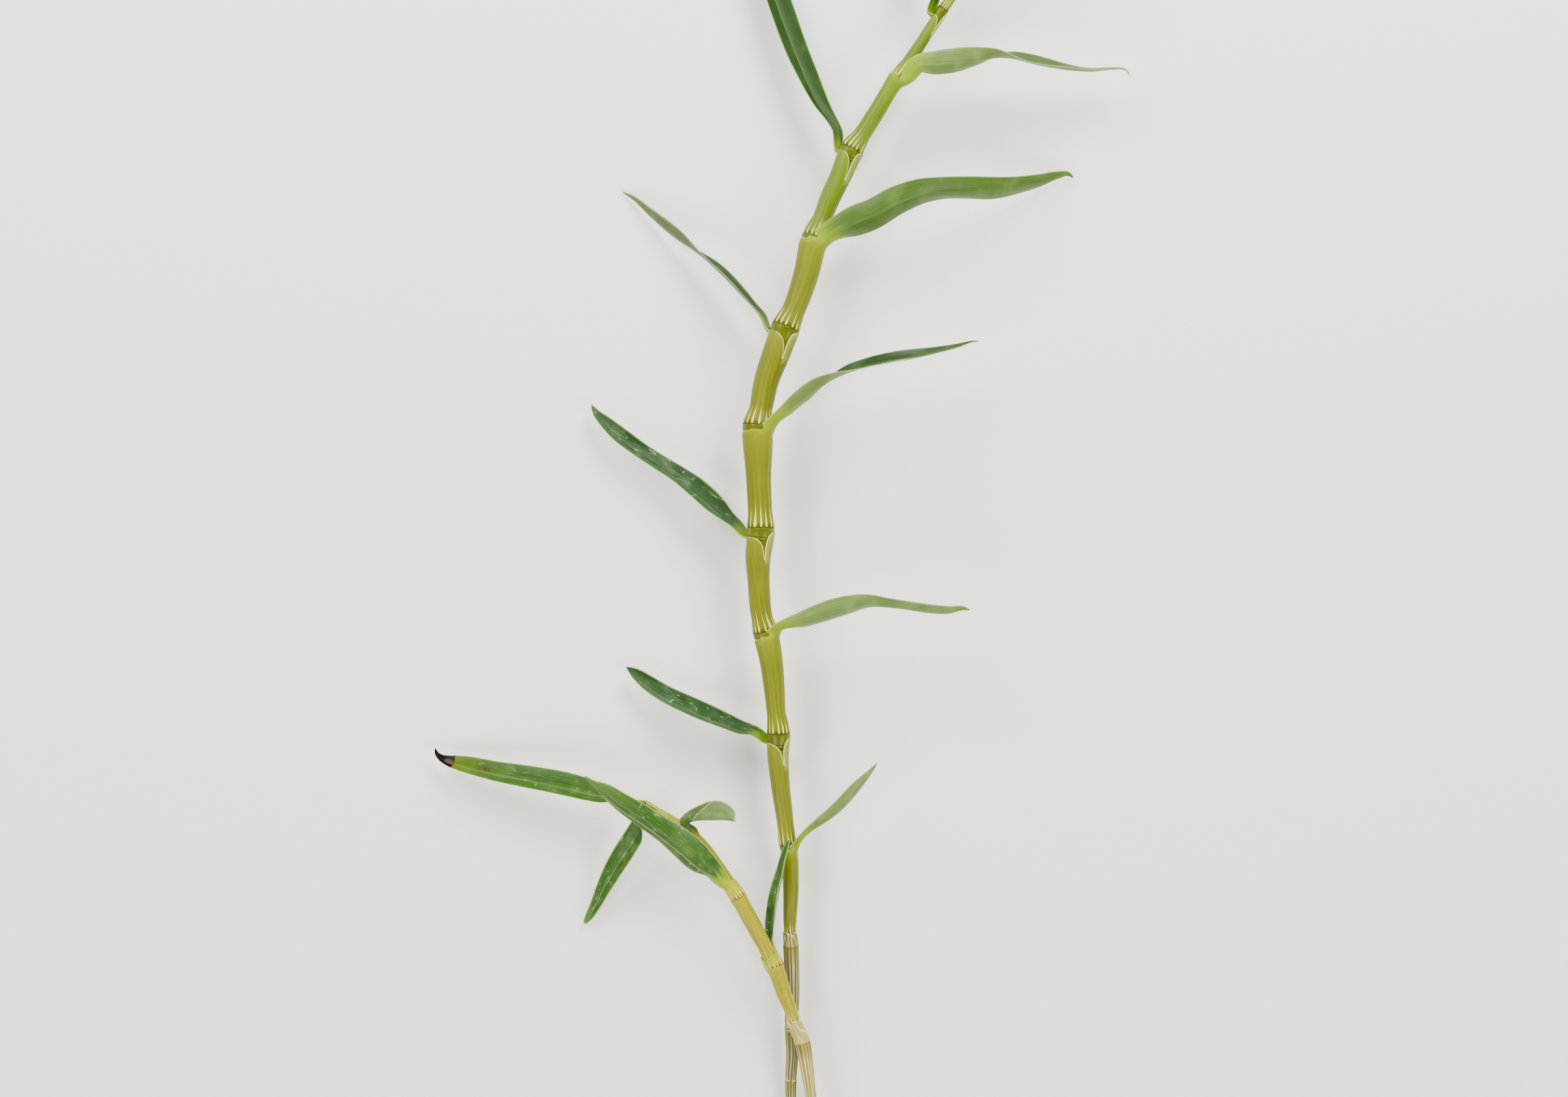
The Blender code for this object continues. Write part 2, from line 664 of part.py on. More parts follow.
def cane_profile(cane, leaves, wraps):
    """(distance, radius) pairs down the cane: slim in the sheaths, and full width at each bare ring."""
    top = cane.route.length - CANE_SHORT_OF_TOP
    pairs = {0.0: cane.inner_radius(0.0), top: cane.inner_radius(top)}
    for leaf in leaves:
        levels = cane.levels(cane.rings[leaf.start] + leaf.start_gap, cane.rings[leaf.ring])
        closed = len(levels) - len(NOTCH_ROWS)
        pairs.update({d: cane.inner_radius(d) for d in levels[:closed]})
        pairs.update({d: cane.inner_radius(d) - NOTCH_EASE for d in levels[closed:] if d < top})
    for wrap in wraps:
        start, end = cane.rings[wrap.start], cane.rings[wrap.end] + wrap.end_gap
        pairs.update({m: cane.inner_radius(m) for m in cane.route.marks if start <= m <= end})
    for name in cane.bare_rings:
        ring = cane.rings[name]
        full = cane.outer_radius(ring)
        pairs[ring - RING_STEP] = cane.inner_radius(ring - RING_STEP)
        pairs[ring - 0.3 * RING_STEP] = full
        pairs[ring] = full
        pairs[ring + SHOULDER] = cane.inner_radius(ring + SHOULDER) - SHOULDER_EASE
    return sorted(pairs.items())


def tube_curve(name, points, finish, group):
    """A round tube through (place, radius) points in millimetres, closed at both ends."""
    curve = bpy.data.curves.new(name, "CURVE")
    curve.dimensions = "3D"
    curve.bevel_depth = MM
    curve.bevel_resolution = 3
    curve.use_fill_caps = True
    spline = curve.splines.new("POLY")
    spline.points.add(len(points) - 1)
    for knot, (position, radius) in zip(spline.points, points):
        knot.co = (*(Vector(position) * MM), 1.0)
        knot.radius = radius
    curve.materials.append(finish)
    made = bpy.data.objects.new(name, curve)
    group.objects.link(made)
    return made


def make_cane(name, cane, leaves, wraps, finish, group):
    """The cane itself, with its rings."""
    profile = cane_profile(cane, leaves, wraps)
    points = [(cane.route.at(distance)[0], radius) for distance, radius in profile]
    return tube_curve(name, points, finish, group)


def make_rootstock(finish, group):
    """The thick piece that carries both canes, cut flat where it rests."""
    route = Route(ROOTSTOCK)
    samples = [route.at(route.length * k / ROOTSTOCK_STEPS)[0] for k in range(ROOTSTOCK_STEPS + 1)]
    guide = tube_curve("rootstock_guide", [(s[:3], s[3]) for s in samples], finish, group)
    evaluated = guide.evaluated_get(bpy.context.evaluated_depsgraph_get())
    mesh = bpy.data.meshes.new_from_object(evaluated)
    bpy.data.objects.remove(guide)
    body = bmesh.new()
    body.from_mesh(mesh)
    bmesh.ops.remove_doubles(body, verts=body.verts, dist=0.00001)
    everything = body.verts[:] + body.edges[:] + body.faces[:]
    cut = bmesh.ops.bisect_plane(
        body, geom=everything, plane_co=(0, 0, 0), plane_no=(0, 0, -1), clear_outer=True
    )
    rim = [e for e in cut["geom_cut"] if isinstance(e, bmesh.types.BMEdge)]
    bmesh.ops.edgeloop_fill(body, edges=rim)
    bmesh.ops.recalc_face_normals(body, faces=body.faces)
    body.to_mesh(mesh)
    body.free()
    mesh.name = "rootstock"
    mesh.shade_smooth()
    made = bpy.data.objects.new("rootstock", mesh)
    group.objects.link(made)
    return made


def main():
    """Clears the scene and builds the plant."""
    for old in list(bpy.data.objects):
        bpy.data.objects.remove(old)
    group = bpy.data.collections.new(PLANT)
    bpy.context.scene.collection.children.link(group)

    cane_skin = material("cane", CANE_OLIVE, 0.3)
    old_sheath = material("sheath", SHEATH_OLIVE, 0.5)
    young_sheath = material("young_sheath", YOUNG_YELLOW, 0.5)
    upper_leaf = material("leaf_upper", LEAF_GREEN, 0.4)
    under_leaf = material("leaf_under", LEAF_GREY_GREEN, 0.45)
    papery = material("papery_sheath", PAPERY_TAN, 0.6)
    root = material("rootstock", ROOT_BROWN, 0.8)

    make_rootstock(root, group)
    tall = Cane(TALL_CANE, ("H", "G", "F", "E", "D", "C", "B", "A", "Z", "Y"))
    short = Cane(SHORT_CANE, ("2", "3", "4", "5"))
    shoots = (
        ("tall_cane", tall, TALL_LEAVES, TALL_WRAPS, old_sheath),
        ("short_cane", short, SHORT_LEAVES, SHORT_WRAPS, young_sheath),
    )
    for name, cane, leaves, wraps, sheath in shoots:
        make_cane(name, cane, leaves, wraps, cane_skin, group)
        for leaf in leaves:
            make_leaf(cane, leaf, sheath, under_leaf if leaf.side > 0 else upper_leaf, group)
        for wrap in wraps:
            make_wrap(cane, wrap, papery, group)


main()
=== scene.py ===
"""The looks of a leafy dendrobium stem: two canes of one plant on a short rootstock, laid on a table.

Places are in millimetres as they look from EYE, straight above the plant, and at() moves a point that
lies higher in towards that line of sight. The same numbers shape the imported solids.
"""

import json
import logging
import math
from collections.abc import Callable, Iterator, Sequence
from dataclasses import dataclass, field
from enum import Enum
from typing import Any

import bpy
import numpy as np
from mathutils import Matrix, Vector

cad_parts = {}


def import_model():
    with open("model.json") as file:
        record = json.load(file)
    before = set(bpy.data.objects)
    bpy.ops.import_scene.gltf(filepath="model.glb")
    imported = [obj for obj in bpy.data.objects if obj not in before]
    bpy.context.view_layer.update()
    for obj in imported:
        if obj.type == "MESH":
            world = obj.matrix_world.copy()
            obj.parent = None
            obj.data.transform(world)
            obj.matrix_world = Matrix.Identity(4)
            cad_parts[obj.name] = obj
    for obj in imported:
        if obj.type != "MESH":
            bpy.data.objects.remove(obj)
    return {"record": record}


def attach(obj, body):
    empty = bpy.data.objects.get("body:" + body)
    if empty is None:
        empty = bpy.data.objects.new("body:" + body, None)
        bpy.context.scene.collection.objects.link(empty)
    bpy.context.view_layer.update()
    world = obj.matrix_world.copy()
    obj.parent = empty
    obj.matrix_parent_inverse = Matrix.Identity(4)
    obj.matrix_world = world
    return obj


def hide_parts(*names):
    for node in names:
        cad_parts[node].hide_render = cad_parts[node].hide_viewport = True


MM = 0.001
EYE = np.array((-5.4, 277.9, 1100.0))
PHOTO_WIDTH = 2296
PHOTO_SCALE = 0.32
FLOOR = 0.02  # no skin reaches lower, in millimetres
SKIN_IOR = 1.45  # of leaf wax
SMOOTH = {"interpolation_type": "SMOOTHSTEP"}
STREAK_SPAN = (0.36, 0.66)  # the noise values between which a leaf's streaks go from light to dark
# How far the near and the far edge of a notch stand round the cane, in degrees, at heights up to its mouth:
# one that faces away, one whose bottom is turned towards the eye, and one that is wrapped round its cane
NOTCH_HEIGHTS = (0.0, 0.4, 0.65, 0.82, 0.93, 0.98, 1.0)
NOTCH_PLAIN = ((180.0, 175.0, 168.0, 158.0, 135.0, 104.0), (180.0, 177.0, 172.0, 164.0, 140.0, 106.0))
NOTCH_TURNED = ((165.0, 156.0, 148.0, 136.0, 120.0, 104.0), (195.0, 200.0, 198.0, 192.0, 176.0, 130.0))
NOTCH_WRAPPED = ((180.0, 180.0, 178.0, 175.0, 150.0, 110.0),) * 2
TIP_STEPS = (3.6, 2.7, 1.9, 1.2, 0.7, 0.3, 0.0)
Material, Object = bpy.types.Material, bpy.types.Object
Adder = Callable[..., Any]
LOG = logging.getLogger("dendrobium_stem")


class Flank(Enum):
    """The side of its cane on which a leaf stands, seen from the eye."""

    LEFT = -1
    RIGHT = 1


class Dress(Enum):
    """Which pair of skins a leaf wears."""

    TALL = "tall"
    PALE = "pale"
    BROAD = "broad"
    DULL = "dull"
    CROWN = "crown"
    # young leaves whose upper face is painted paler and greyer: painted sheen
    PALE_CROWN = "pale crown"
    SHORT = "short"
    NEAR = "near"
    FOLDED = "folded"
    WITHERED = "withered"


@dataclass(frozen=True)
class Knot:
    """A point on a cane's axis, the width over its sheath, and the ring that lies there, if any."""

    x: float
    y: float
    height: float
    width: float
    ring: str = ""


def knots(*rows: tuple[Any, ...]) -> tuple[Knot, ...]:
    """Makes knots of rows of numbers."""
    return tuple(Knot(*row) for row in rows)


@dataclass(frozen=True)
class LeafPlan:
    """One leaf's numbers.

    lift turns the blade up towards the eye in degrees, curl is the angle of its edges, and a station is
    (x, y, height, half width, roll), where roll 0 shows the upper face to the eye and 180 the lower.
    overrun is how far the sheath runs on over the ring above it, mouth how far below the ring the middle of
    its mouth lies, and wing how much higher the sides of the mouth end.
    """

    name: str
    start: str
    start_gap: float
    ring: str
    flank: Flank
    lift: float
    curl: float
    stations: Sequence[tuple[float, float, float, float, float]]
    dress: Dress = Dress.TALL
    overrun: float = 0.0
    wing: float = 2.4
    mouth: float = 5.6


TALL_KNOTS = knots(
    (-1.6, 4.6, 7.0, 4.8, "foot"), (-2.2, 20.8, 7.6, 4.8), (-2.2, 29.4, 8.0, 5.1, "K"),
    (-1.6, 40.6, 8.6, 5.4), (-1.9, 51.2, 9.2, 5.8, "J"), (-1.6, 71.0, 10.6, 6.7),
    (-2.2, 91.5, 12.8, 7.0, "I"), (-2.6, 99.2, 13.6, 5.8), (-2.2, 119.0, 16.0, 7.4),
    (-2.9, 135.0, 18.0, 7.8), (-3.8, 140.5, 18.6, 8.3, "H"), (-4.8, 149.4, 19.4, 7.7),
    (-7.4, 170.2, 21.0, 9.0), (-8.3, 183.0, 21.8, 9.9), (-8.0, 192.3, 22.4, 10.9, "G"),
    (-9.0, 200.6, 22.8, 8.6), (-10.2, 215.0, 23.4, 9.9), (-11.8, 227.8, 23.9, 10.9),
    (-14.4, 240.0, 24.4, 11.8, "F"), (-15.7, 245.4, 24.6, 9.9), (-17.3, 263.0, 25.0, 10.2),
    (-17.6, 272.6, 25.2, 11.5), (-16.3, 288.6, 25.4, 12.8, "E"), (-16.6, 295.0, 25.4, 11.0),
    (-17.3, 311.0, 25.4, 11.5), (-17.6, 327.0, 25.2, 13.8), (-17.6, 336.6, 25.0, 14.1, "D"),
    (-16.3, 343.0, 24.9, 10.6), (-13.8, 355.8, 24.6, 11.5), (-9.3, 368.6, 24.2, 12.8),
    (-4.2, 382.4, 23.8, 13.1, "C"), (-1.0, 389.4, 23.5, 10.6), (5.1, 407.0, 22.8, 11.8),
    (8.0, 419.8, 22.3, 12.5), (9.6, 425.6, 22.0, 11.8, "B"), (12.5, 432.6, 21.8, 8.6),
    (16.3, 442.2, 21.4, 9.6), (20.8, 451.8, 21.0, 9.9), (26.6, 465.3, 20.5, 11.2, "A"),
    (31.0, 471.7, 20.3, 8.0), (38.7, 483.8, 20.0, 7.7), (44.5, 493.4, 19.7, 7.4),
    (47.7, 498.2, 19.6, 8.3, "Z"), (52.8, 505.6, 19.3, 6.1), (59.5, 515.8, 19.0, 5.4),
    (65.6, 525.4, 18.7, 5.3), (69.4, 531.2, 18.5, 5.4, "Y"), (73.3, 536.3, 18.4, 4.4),
    (77.5, 541.6, 18.4, 4.0, "top"),
)

SHORT_KNOTS = knots(
    (8.6, 2.9, 12.5, 4.5, "foot"), (7.0, 23.0, 14.0, 4.8), (5.1, 35.8, 15.4, 6.1),
    (3.2, 46.4, 16.6, 7.0, "1"), (0.0, 55.0, 17.7, 6.4), (-2.2, 61.4, 18.6, 5.8),
    (-5.4, 69.4, 20.0, 7.0), (-7.4, 75.8, 21.2, 7.2), (-9.9, 82.2, 22.4, 8.3, "2"),
    (-13.8, 90.2, 23.8, 6.6), (-18.9, 99.8, 25.0, 7.2), (-22.4, 106.2, 25.6, 7.4),
    (-26.6, 113.9, 26.0, 7.2, "3"), (-31.7, 121.6, 25.9, 6.1), (-36.8, 129.3, 25.5, 5.9),
    (-42.0, 136.5, 25.0, 5.8), (-48.6, 143.4, 24.2, 5.6, "4"), (-56.6, 149.4, 23.4, 4.8),
    (-64.8, 154.2, 22.8, 4.5), (-71.6, 157.6, 22.3, 4.5, "5"), (-75.8, 158.4, 22.1, 4.0),
    (-79.0, 159.7, 22.0, 3.8, "top"),
)

TALL_LEAVES = (
    LeafPlan(
        "tall_leaf_01", "I", 6.2, "H", Flank.RIGHT, 25, 40,
        (
            (7.4, 145.6, 26.0, 3.5, 120), (11.2, 148.2, 28.0, 4.0, 128), (20.8, 155.5, 31.5, 4.6, 130),
            (30.4, 166.4, 33.0, 4.2, 128), (35.2, 172.5, 32.5, 2.6, 125), (38.4, 177.3, 31.5, 0.5, 120),
        ),
        Dress.PALE,
    ),
    LeafPlan(
        "tall_leaf_02", "H", -0.9, "G", Flank.LEFT, -40, 40,
        (
            (-19.8, 191.0, 17.5, 4.2, 48), (-25.6, 192.6, 16.5, 4.9, 44), (-33.6, 195.8, 15.0, 5.5, 42),
            (-43.2, 199.7, 13.0, 5.9, 40), (-52.8, 204.2, 11.0, 5.9, 40), (-62.4, 209.3, 9.2, 5.4, 38),
            (-70.4, 214.7, 7.8, 4.6, 34), (-75.8, 219.2, 6.8, 3.0, 34), (-79.4, 222.4, 6.0, 0.5, 34),
        ),
    ),
    LeafPlan(
        "tall_leaf_03", "G", -0.9, "F", Flank.RIGHT, 32, 36,
        (
            (-1.6, 241.4, 34.0, 5.2, 136), (5.4, 243.8, 37.0, 5.8, 141), (14.4, 246.8, 40.0, 6.3, 144),
            (24.0, 249.5, 42.0, 6.4, 138), (33.6, 251.3, 42.5, 6.3, 123), (43.2, 250.6, 41.5, 6.0, 113),
            (52.8, 249.4, 39.5, 5.5, 110), (62.4, 248.0, 37.0, 4.9, 112), (72.0, 247.8, 34.5, 3.8, 117),
            (78.4, 249.2, 33.0, 2.3, 117), (81.9, 249.0, 32.0, 0.5, 115),
        ),
        Dress.PALE,
    ),
    LeafPlan(
        "tall_leaf_04", "F", -0.9, "E", Flank.LEFT, -40, 44,
        (
            (-29.8, 289.0, 18.0, 4.6, 45), (-38.4, 297.0, 15.0, 6.3, 32), (-46.4, 304.0, 13.0, 6.6, 34),
            (-56.0, 311.0, 10.8, 6.5, 45), (-65.6, 317.1, 9.6, 6.4, 47), (-75.2, 323.2, 9.0, 6.2, 46),
            (-83.2, 329.6, 8.0, 5.6, 40), (-89.6, 336.0, 6.8, 4.4, 42), (-93.8, 341.1, 5.8, 2.6, 42),
            (-95.7, 345.3, 5.0, 0.5, 42),
        ),
    ),
    LeafPlan(
        "tall_leaf_05", "E", -0.9, "D", Flank.RIGHT, 32, 36,
        (
            (-5.4, 340.2, 34.5, 4.5, 135), (0.0, 345.1, 37.0, 5.2, 131), (6.0, 349.6, 39.5, 5.8, 128),
            (11.8, 353.8, 41.0, 6.0, 112), (17.7, 357.3, 42.0, 5.8, 92), (25.4, 360.7, 42.0, 5.7, 70),
            (35.4, 363.8, 41.0, 5.4, 61), (45.4, 365.9, 39.0, 5.0, 58), (57.0, 367.9, 36.0, 4.3, 53),
            (68.6, 370.5, 32.5, 3.3, 57), (76.8, 372.6, 30.0, 2.2, 60), (82.9, 374.6, 28.0, 1.1, 65),
            (86.4, 375.0, 27.0, 0.4, 65),
        ),
        Dress.PALE,
    ),
    LeafPlan(
        "tall_leaf_06", "D", -0.9, "C", Flank.LEFT, -40, 34,
        (
            (-17.0, 387.4, 18.0, 3.8, 66), (-25.6, 397.1, 16.5, 4.4, 67), (-32.0, 404.0, 15.0, 4.4, 67),
            (-38.4, 410.1, 13.2, 4.5, 70), (-45.8, 416.3, 11.2, 4.6, 85), (-52.8, 421.5, 9.6, 4.8, 108),
            (-60.8, 427.9, 7.4, 4.2, 118), (-68.8, 434.9, 4.8, 3.2, 120), (-75.8, 441.6, 2.6, 1.8, 120),
            (-81.3, 445.1, 0.4, 0.4, 120),
        ),
        Dress.DULL, mouth=4.6,
    ),
    LeafPlan(
        "tall_leaf_07", "C", -0.9, "B", Flank.RIGHT, 32, 36,
        (
            (21.4, 426.4, 29.5, 7.9, 146), (27.8, 430.3, 32.5, 8.2, 158), (36.8, 434.2, 36.0, 7.8, 162),
            (48.0, 439.9, 38.0, 7.9, 150), (59.2, 443.7, 37.5, 7.8, 138), (70.4, 445.0, 34.5, 7.4, 131),
            (81.6, 445.2, 30.0, 7.0, 133), (94.4, 445.7, 23.5, 6.4, 139), (105.6, 447.3, 17.0, 5.4, 135),
            (115.2, 449.4, 11.0, 4.2, 134), (123.2, 452.2, 6.0, 2.6, 130), (127.7, 453.1, 3.0, 1.5, 128),
            (130.2, 451.5, 0.4, 0.4, 125),
        ),
        Dress.BROAD, mouth=6.8,
    ),
    LeafPlan(
        "tall_leaf_08", "B", -2.3, "A", Flank.LEFT, -40, 40,
        (
            (18.2, 473.6, 15.8, 4.2, 46), (9.9, 487.0, 14.0, 5.6, 36), (2.6, 503.0, 12.5, 6.7, 30),
            (-3.8, 519.0, 11.0, 7.2, 27), (-9.6, 535.0, 9.5, 7.2, 27), (-14.7, 552.6, 8.0, 6.4, 27),
            (-18.9, 567.0, 6.5, 4.2, 28), (-20.8, 575.0, 5.6, 2.0, 28), (-21.8, 578.9, 5.0, 0.5, 28),
        ),
        Dress.CROWN, mouth=3.0,
    ),
    LeafPlan(
        "tall_leaf_09", "A", -0.9, "Z", Flank.RIGHT, 30, 36,
        (
            (57.6, 504.0, 25.5, 5.2, 155), (67.2, 505.0, 28.5, 6.4, 150), (76.8, 505.6, 30.5, 6.8, 138),
            (86.4, 506.8, 31.0, 6.6, 118), (92.8, 508.0, 31.0, 6.4, 97), (100.8, 507.7, 30.0, 6.1, 70),
            (110.4, 505.6, 28.5, 5.6, 57), (120.0, 503.5, 26.5, 5.0, 61), (129.6, 502.1, 24.0, 4.3, 68),
            (139.2, 501.6, 21.5, 3.5, 72), (148.8, 502.6, 19.0, 2.3, 76), (154.6, 502.1, 17.5, 1.2, 78),
            (157.1, 498.9, 16.5, 0.4, 80),
        ),
        Dress.PALE_CROWN, wing=3.4, mouth=2.4,
    ),
    LeafPlan(
        "tall_leaf_10", "Z", -0.9, "Y", Flank.LEFT, -25, 40,
        (
            (65.9, 540.8, 19.5, 3.6, 50), (63.0, 554.2, 21.0, 5.2, 40), (59.2, 568.6, 21.0, 5.4, 36),
            (55.0, 583.0, 20.0, 3.8, 36), (52.2, 592.6, 19.0, 1.6, 36), (51.2, 596.5, 18.5, 0.5, 36),
        ),
        Dress.CROWN,
    ),
    LeafPlan(
        "tall_leaf_11", "Y", -0.9, "top", Flank.RIGHT, 30, 40,
        (
            (84.8, 543.7, 24.0, 4.6, 140), (96.0, 551.7, 27.5, 5.4, 145), (107.2, 558.1, 28.0, 5.2, 142),
            (118.4, 563.8, 26.0, 3.6, 138), (125.8, 567.0, 23.5, 1.6, 135), (128.3, 568.0, 22.5, 0.5, 135),
        ),
        Dress.PALE_CROWN, wing=3.4, mouth=2.4,
    ),
)

SHORT_LEAVES = (
    LeafPlan(
        "short_leaf_1", "1", 10.9, "2", Flank.RIGHT, -50, 40,
        (
            (-11.3, 95.2, 17.2, 3.0, 50), (-11.0, 99.8, 18.2, 4.0, 56), (-10.1, 106.2, 20.0, 4.6, 60),
            (-8.9, 113.3, 22.0, 4.6, 62), (-7.5, 119.7, 23.5, 4.4, 64), (-6.0, 126.1, 25.0, 4.0, 66),
            (-4.9, 132.5, 26.5, 3.4, 66), (-3.6, 138.2, 28.0, 2.0, 60), (-2.6, 141.8, 29.0, 0.5, 60),
        ),
        Dress.SHORT, 9.0,
    ),
    LeafPlan(
        "short_leaf_2", "2", 0.5, "3", Flank.LEFT, 50, 40,
        (
            (-39.0, 126.2, 33.0, 5.4, 165), (-45.0, 130.8, 35.0, 7.4, 168), (-53.8, 138.2, 35.6, 7.8, 165),
            (-62.8, 145.0, 35.0, 7.0, 160), (-72.4, 151.8, 34.0, 6.4, 160), (-81.8, 157.8, 33.0, 5.5, 158),
            (-89.6, 163.5, 32.0, 4.2, 155), (-95.0, 167.0, 31.5, 2.5, 150), (-98.9, 171.2, 32.0, 0.5, 150),
        ),
        Dress.NEAR, 12.0,
    ),
    LeafPlan(
        "short_leaf_3", "3", 0.5, "4", Flank.RIGHT, 20, 66,
        (
            (-50.2, 149.0, 28.0, 5.0, 122), (-47.8, 150.2, 30.5, 5.6, 126), (-43.6, 150.9, 33.6, 7.2, 132),
            (-38.4, 151.3, 36.2, 8.4, 138), (-33.6, 151.5, 38.6, 7.2, 142), (-30.4, 151.0, 40.4, 4.2, 142),
            (-28.8, 150.0, 41.6, 0.6, 142),
        ),
        Dress.FOLDED, mouth=2.4,
    ),
    LeafPlan(
        "short_leaf_4", "4", 0.5, "5", Flank.LEFT, -40, 36,
        (
            (-71.2, 150.6, 18.5, 4.4, 34), (-72.8, 146.4, 17.0, 5.4, 28), (-77.6, 138.4, 14.0, 5.8, 24),
            (-82.2, 131.2, 11.5, 5.5, 22), (-86.6, 123.8, 9.0, 4.8, 22), (-90.2, 117.4, 7.0, 3.9, 20),
            (-93.4, 111.0, 5.2, 3.1, 20), (-96.6, 105.3, 3.8, 2.2, 20), (-98.9, 102.1, 3.0, 1.0, 20),
        ),
        Dress.SHORT,
    ),
    LeafPlan(
        "short_leaf_5", "5", 0.5, "top", Flank.LEFT, 10, 60,
        (
            (-84.8, 160.3, 20.5, 4.6, 34), (-94.4, 162.0, 19.0, 7.2, 34), (-104.0, 164.2, 17.5, 8.1, 34),
            (-116.8, 167.0, 15.5, 8.0, 34), (-129.6, 169.6, 13.0, 7.6, 34), (-142.4, 172.0, 10.5, 6.8, 34),
            (-152.0, 174.3, 8.5, 6.0, 34), (-158.0, 176.0, 7.2, 5.0, 34), (-161.0, 176.9, 6.7, 4.2, 34),
            (-163.8, 178.0, 6.4, 3.2, 34), (-166.6, 179.6, 6.2, 2.2, 36), (-168.4, 181.8, 6.1, 1.3, 38),
            (-168.9, 184.2, 6.0, 0.5, 40),
        ),
        Dress.WITHERED,
    ),
)

# Rows of (x, y, height, radius) along the rootstock
ROOTSTOCK_LINE = (
    (-10.5, -0.6, 4.3, 2.6), (-8.0, -0.4, 4.6, 4.6), (-4.0, 0.0, 5.0, 5.6), (-0.5, 0.0, 5.2, 6.0),
    (3.0, 0.0, 6.2, 5.8), (6.0, 0.0, 8.6, 5.5), (9.0, 0.2, 11.2, 5.6), (11.5, 0.3, 12.8, 4.4),
    (13.2, 0.3, 13.8, 2.4),
)


def linear(hex_colour: str) -> tuple[float, float, float, float]:
    """Turns an sRGB hex colour into a linear one.

    Args:
        hex_colour: the colour as six hex digits.

    Returns:
        Red, green, blue and an alpha of 1.
    """
    shares = [int(hex_colour[i : i + 2], 16) / 255 for i in (0, 2, 4)]
    return (*(s / 12.92 if s <= 0.04045 else ((s + 0.055) / 1.055) ** 2.4 for s in shares), 1.0)


class Coat:
    """A material in the making: plant skin with one shader, to which its nodes are added."""

    def __init__(self, name: str, roughness: float, specular: float) -> None:
        """Starts the material.

        Args:
            name: its name.
            roughness: how matt it is.
            specular: how strong its gloss is.
        """
        self.material = bpy.data.materials.new(name)
        self.material.use_nodes = True
        self.tree = self.material.node_tree
        self.shader = self.tree.nodes["Principled BSDF"]
        self.roughness = roughness
        for key, value in (("Roughness", roughness), ("Specular IOR Level", specular), ("IOR", SKIN_IOR)):
            self.shader.inputs[key].default_value = value

    def add(self, kind: str, *values: Any, **named: Any) -> Any:
        """Adds a node with its settings and links.

        Args:
            kind: the node's type without its ShaderNode prefix, or in capitals the operation of a Math
                node. A Mix node mixes two colours.
            values: for each input in turn, a socket to link, a hex colour or a value to set.
            named: the same for inputs by name, which start with a capital, and the node's own settings.

        Returns:
            The output with the node's result.
        """
        made = self.tree.nodes.new("ShaderNode" + ("Math" if kind.isupper() else kind))
        order, result = range(len(values)), 0
        if kind.isupper():
            made.operation = kind
        elif kind == "Mix":
            made.data_type = "RGBA"
            order, result = (0, 6, 7), 2
        for key, value in (*zip(order, values), *named.items()):
            if isinstance(key, str) and key.islower():
                setattr(made, key, value)
            elif isinstance(value, bpy.types.NodeSocket):
                self.tree.links.new(value, made.inputs[key])
            else:
                made.inputs[key].default_value = linear(value) if isinstance(value, str) else value
        return made.outputs[result]

    def read(self, layer: str) -> tuple[Any, Any]:
        """Reads the two coordinates of one of the mesh's maps."""
        return tuple(self.add("SeparateXYZ", self.add("UVMap", uv_map=layer)).node.outputs[:2])

    def finish(
        self, colour: Any, height: Any, depth: float, strength: float, gloss: Any = None,
        smoother: float = 0.0, rougher: float = 0.0,
    ) -> Material:
        """Links the colour, the relief and the uneven gloss to the shader.

        Args:
            colour: the colour of the skin.
            height: its relief.
            depth: the relief's depth in millimetres.
            strength: how strongly the relief tells, from 0 to 1.
            gloss: the noise that makes the gloss uneven, or None for an even one.
            smoother: how much less rough it gets where that noise is low.
            rougher: how much rougher it gets where that noise is high.

        Returns:
            The material.
        """
        self.tree.links.new(colour, self.shader.inputs["Base Color"])
        bump = self.add("Bump", Height=height, Distance=depth * MM, Strength=strength)
        self.tree.links.new(bump, self.shader.inputs["Normal"])
        if gloss:
            ends = self.roughness - smoother, self.roughness + rougher
            uneven = self.add("MapRange", gloss, 0.3, 0.7, *ends)
            self.tree.links.new(uneven, self.shader.inputs["Roughness"])
        return self.material


def at(x: float, y: float, height: float) -> np.ndarray:
    """Gives the point at that height which the eye sees at (x, y) on the table, in millimetres."""
    nearness = (EYE[2] - height) / EYE[2]
    return np.array((EYE[0] + (x - EYE[0]) * nearness, EYE[1] + (y - EYE[1]) * nearness, height))


def unit(vector: np.ndarray) -> np.ndarray:
    """Gives the vector at length one."""
    return vector / np.linalg.norm(vector)


def ease(value: float, low: float, high: float) -> float:
    """Gives 0 below low, 1 above high, and a smooth step between them."""
    share = min(1.0, max(0.0, (value - low) / (high - low)))
    return share * share * (3 - 2 * share)


def facing(direction: np.ndarray, roll: float, flank: Flank) -> np.ndarray:
    """Finds the way from a leaf's midrib to its upper face.

    Args:
        direction: the way the leaf runs there.
        roll: the angle between its upper face and the eye, in degrees.
        flank: the leaf's side of its cane.

    Returns:
        A unit vector.
    """
    up = unit(np.array((0.0, 0.0, 1.0)) - direction[2] * direction)
    across = flank.value * np.cross(up, direction)
    return math.cos(math.radians(roll)) * up + math.sin(math.radians(roll)) * across


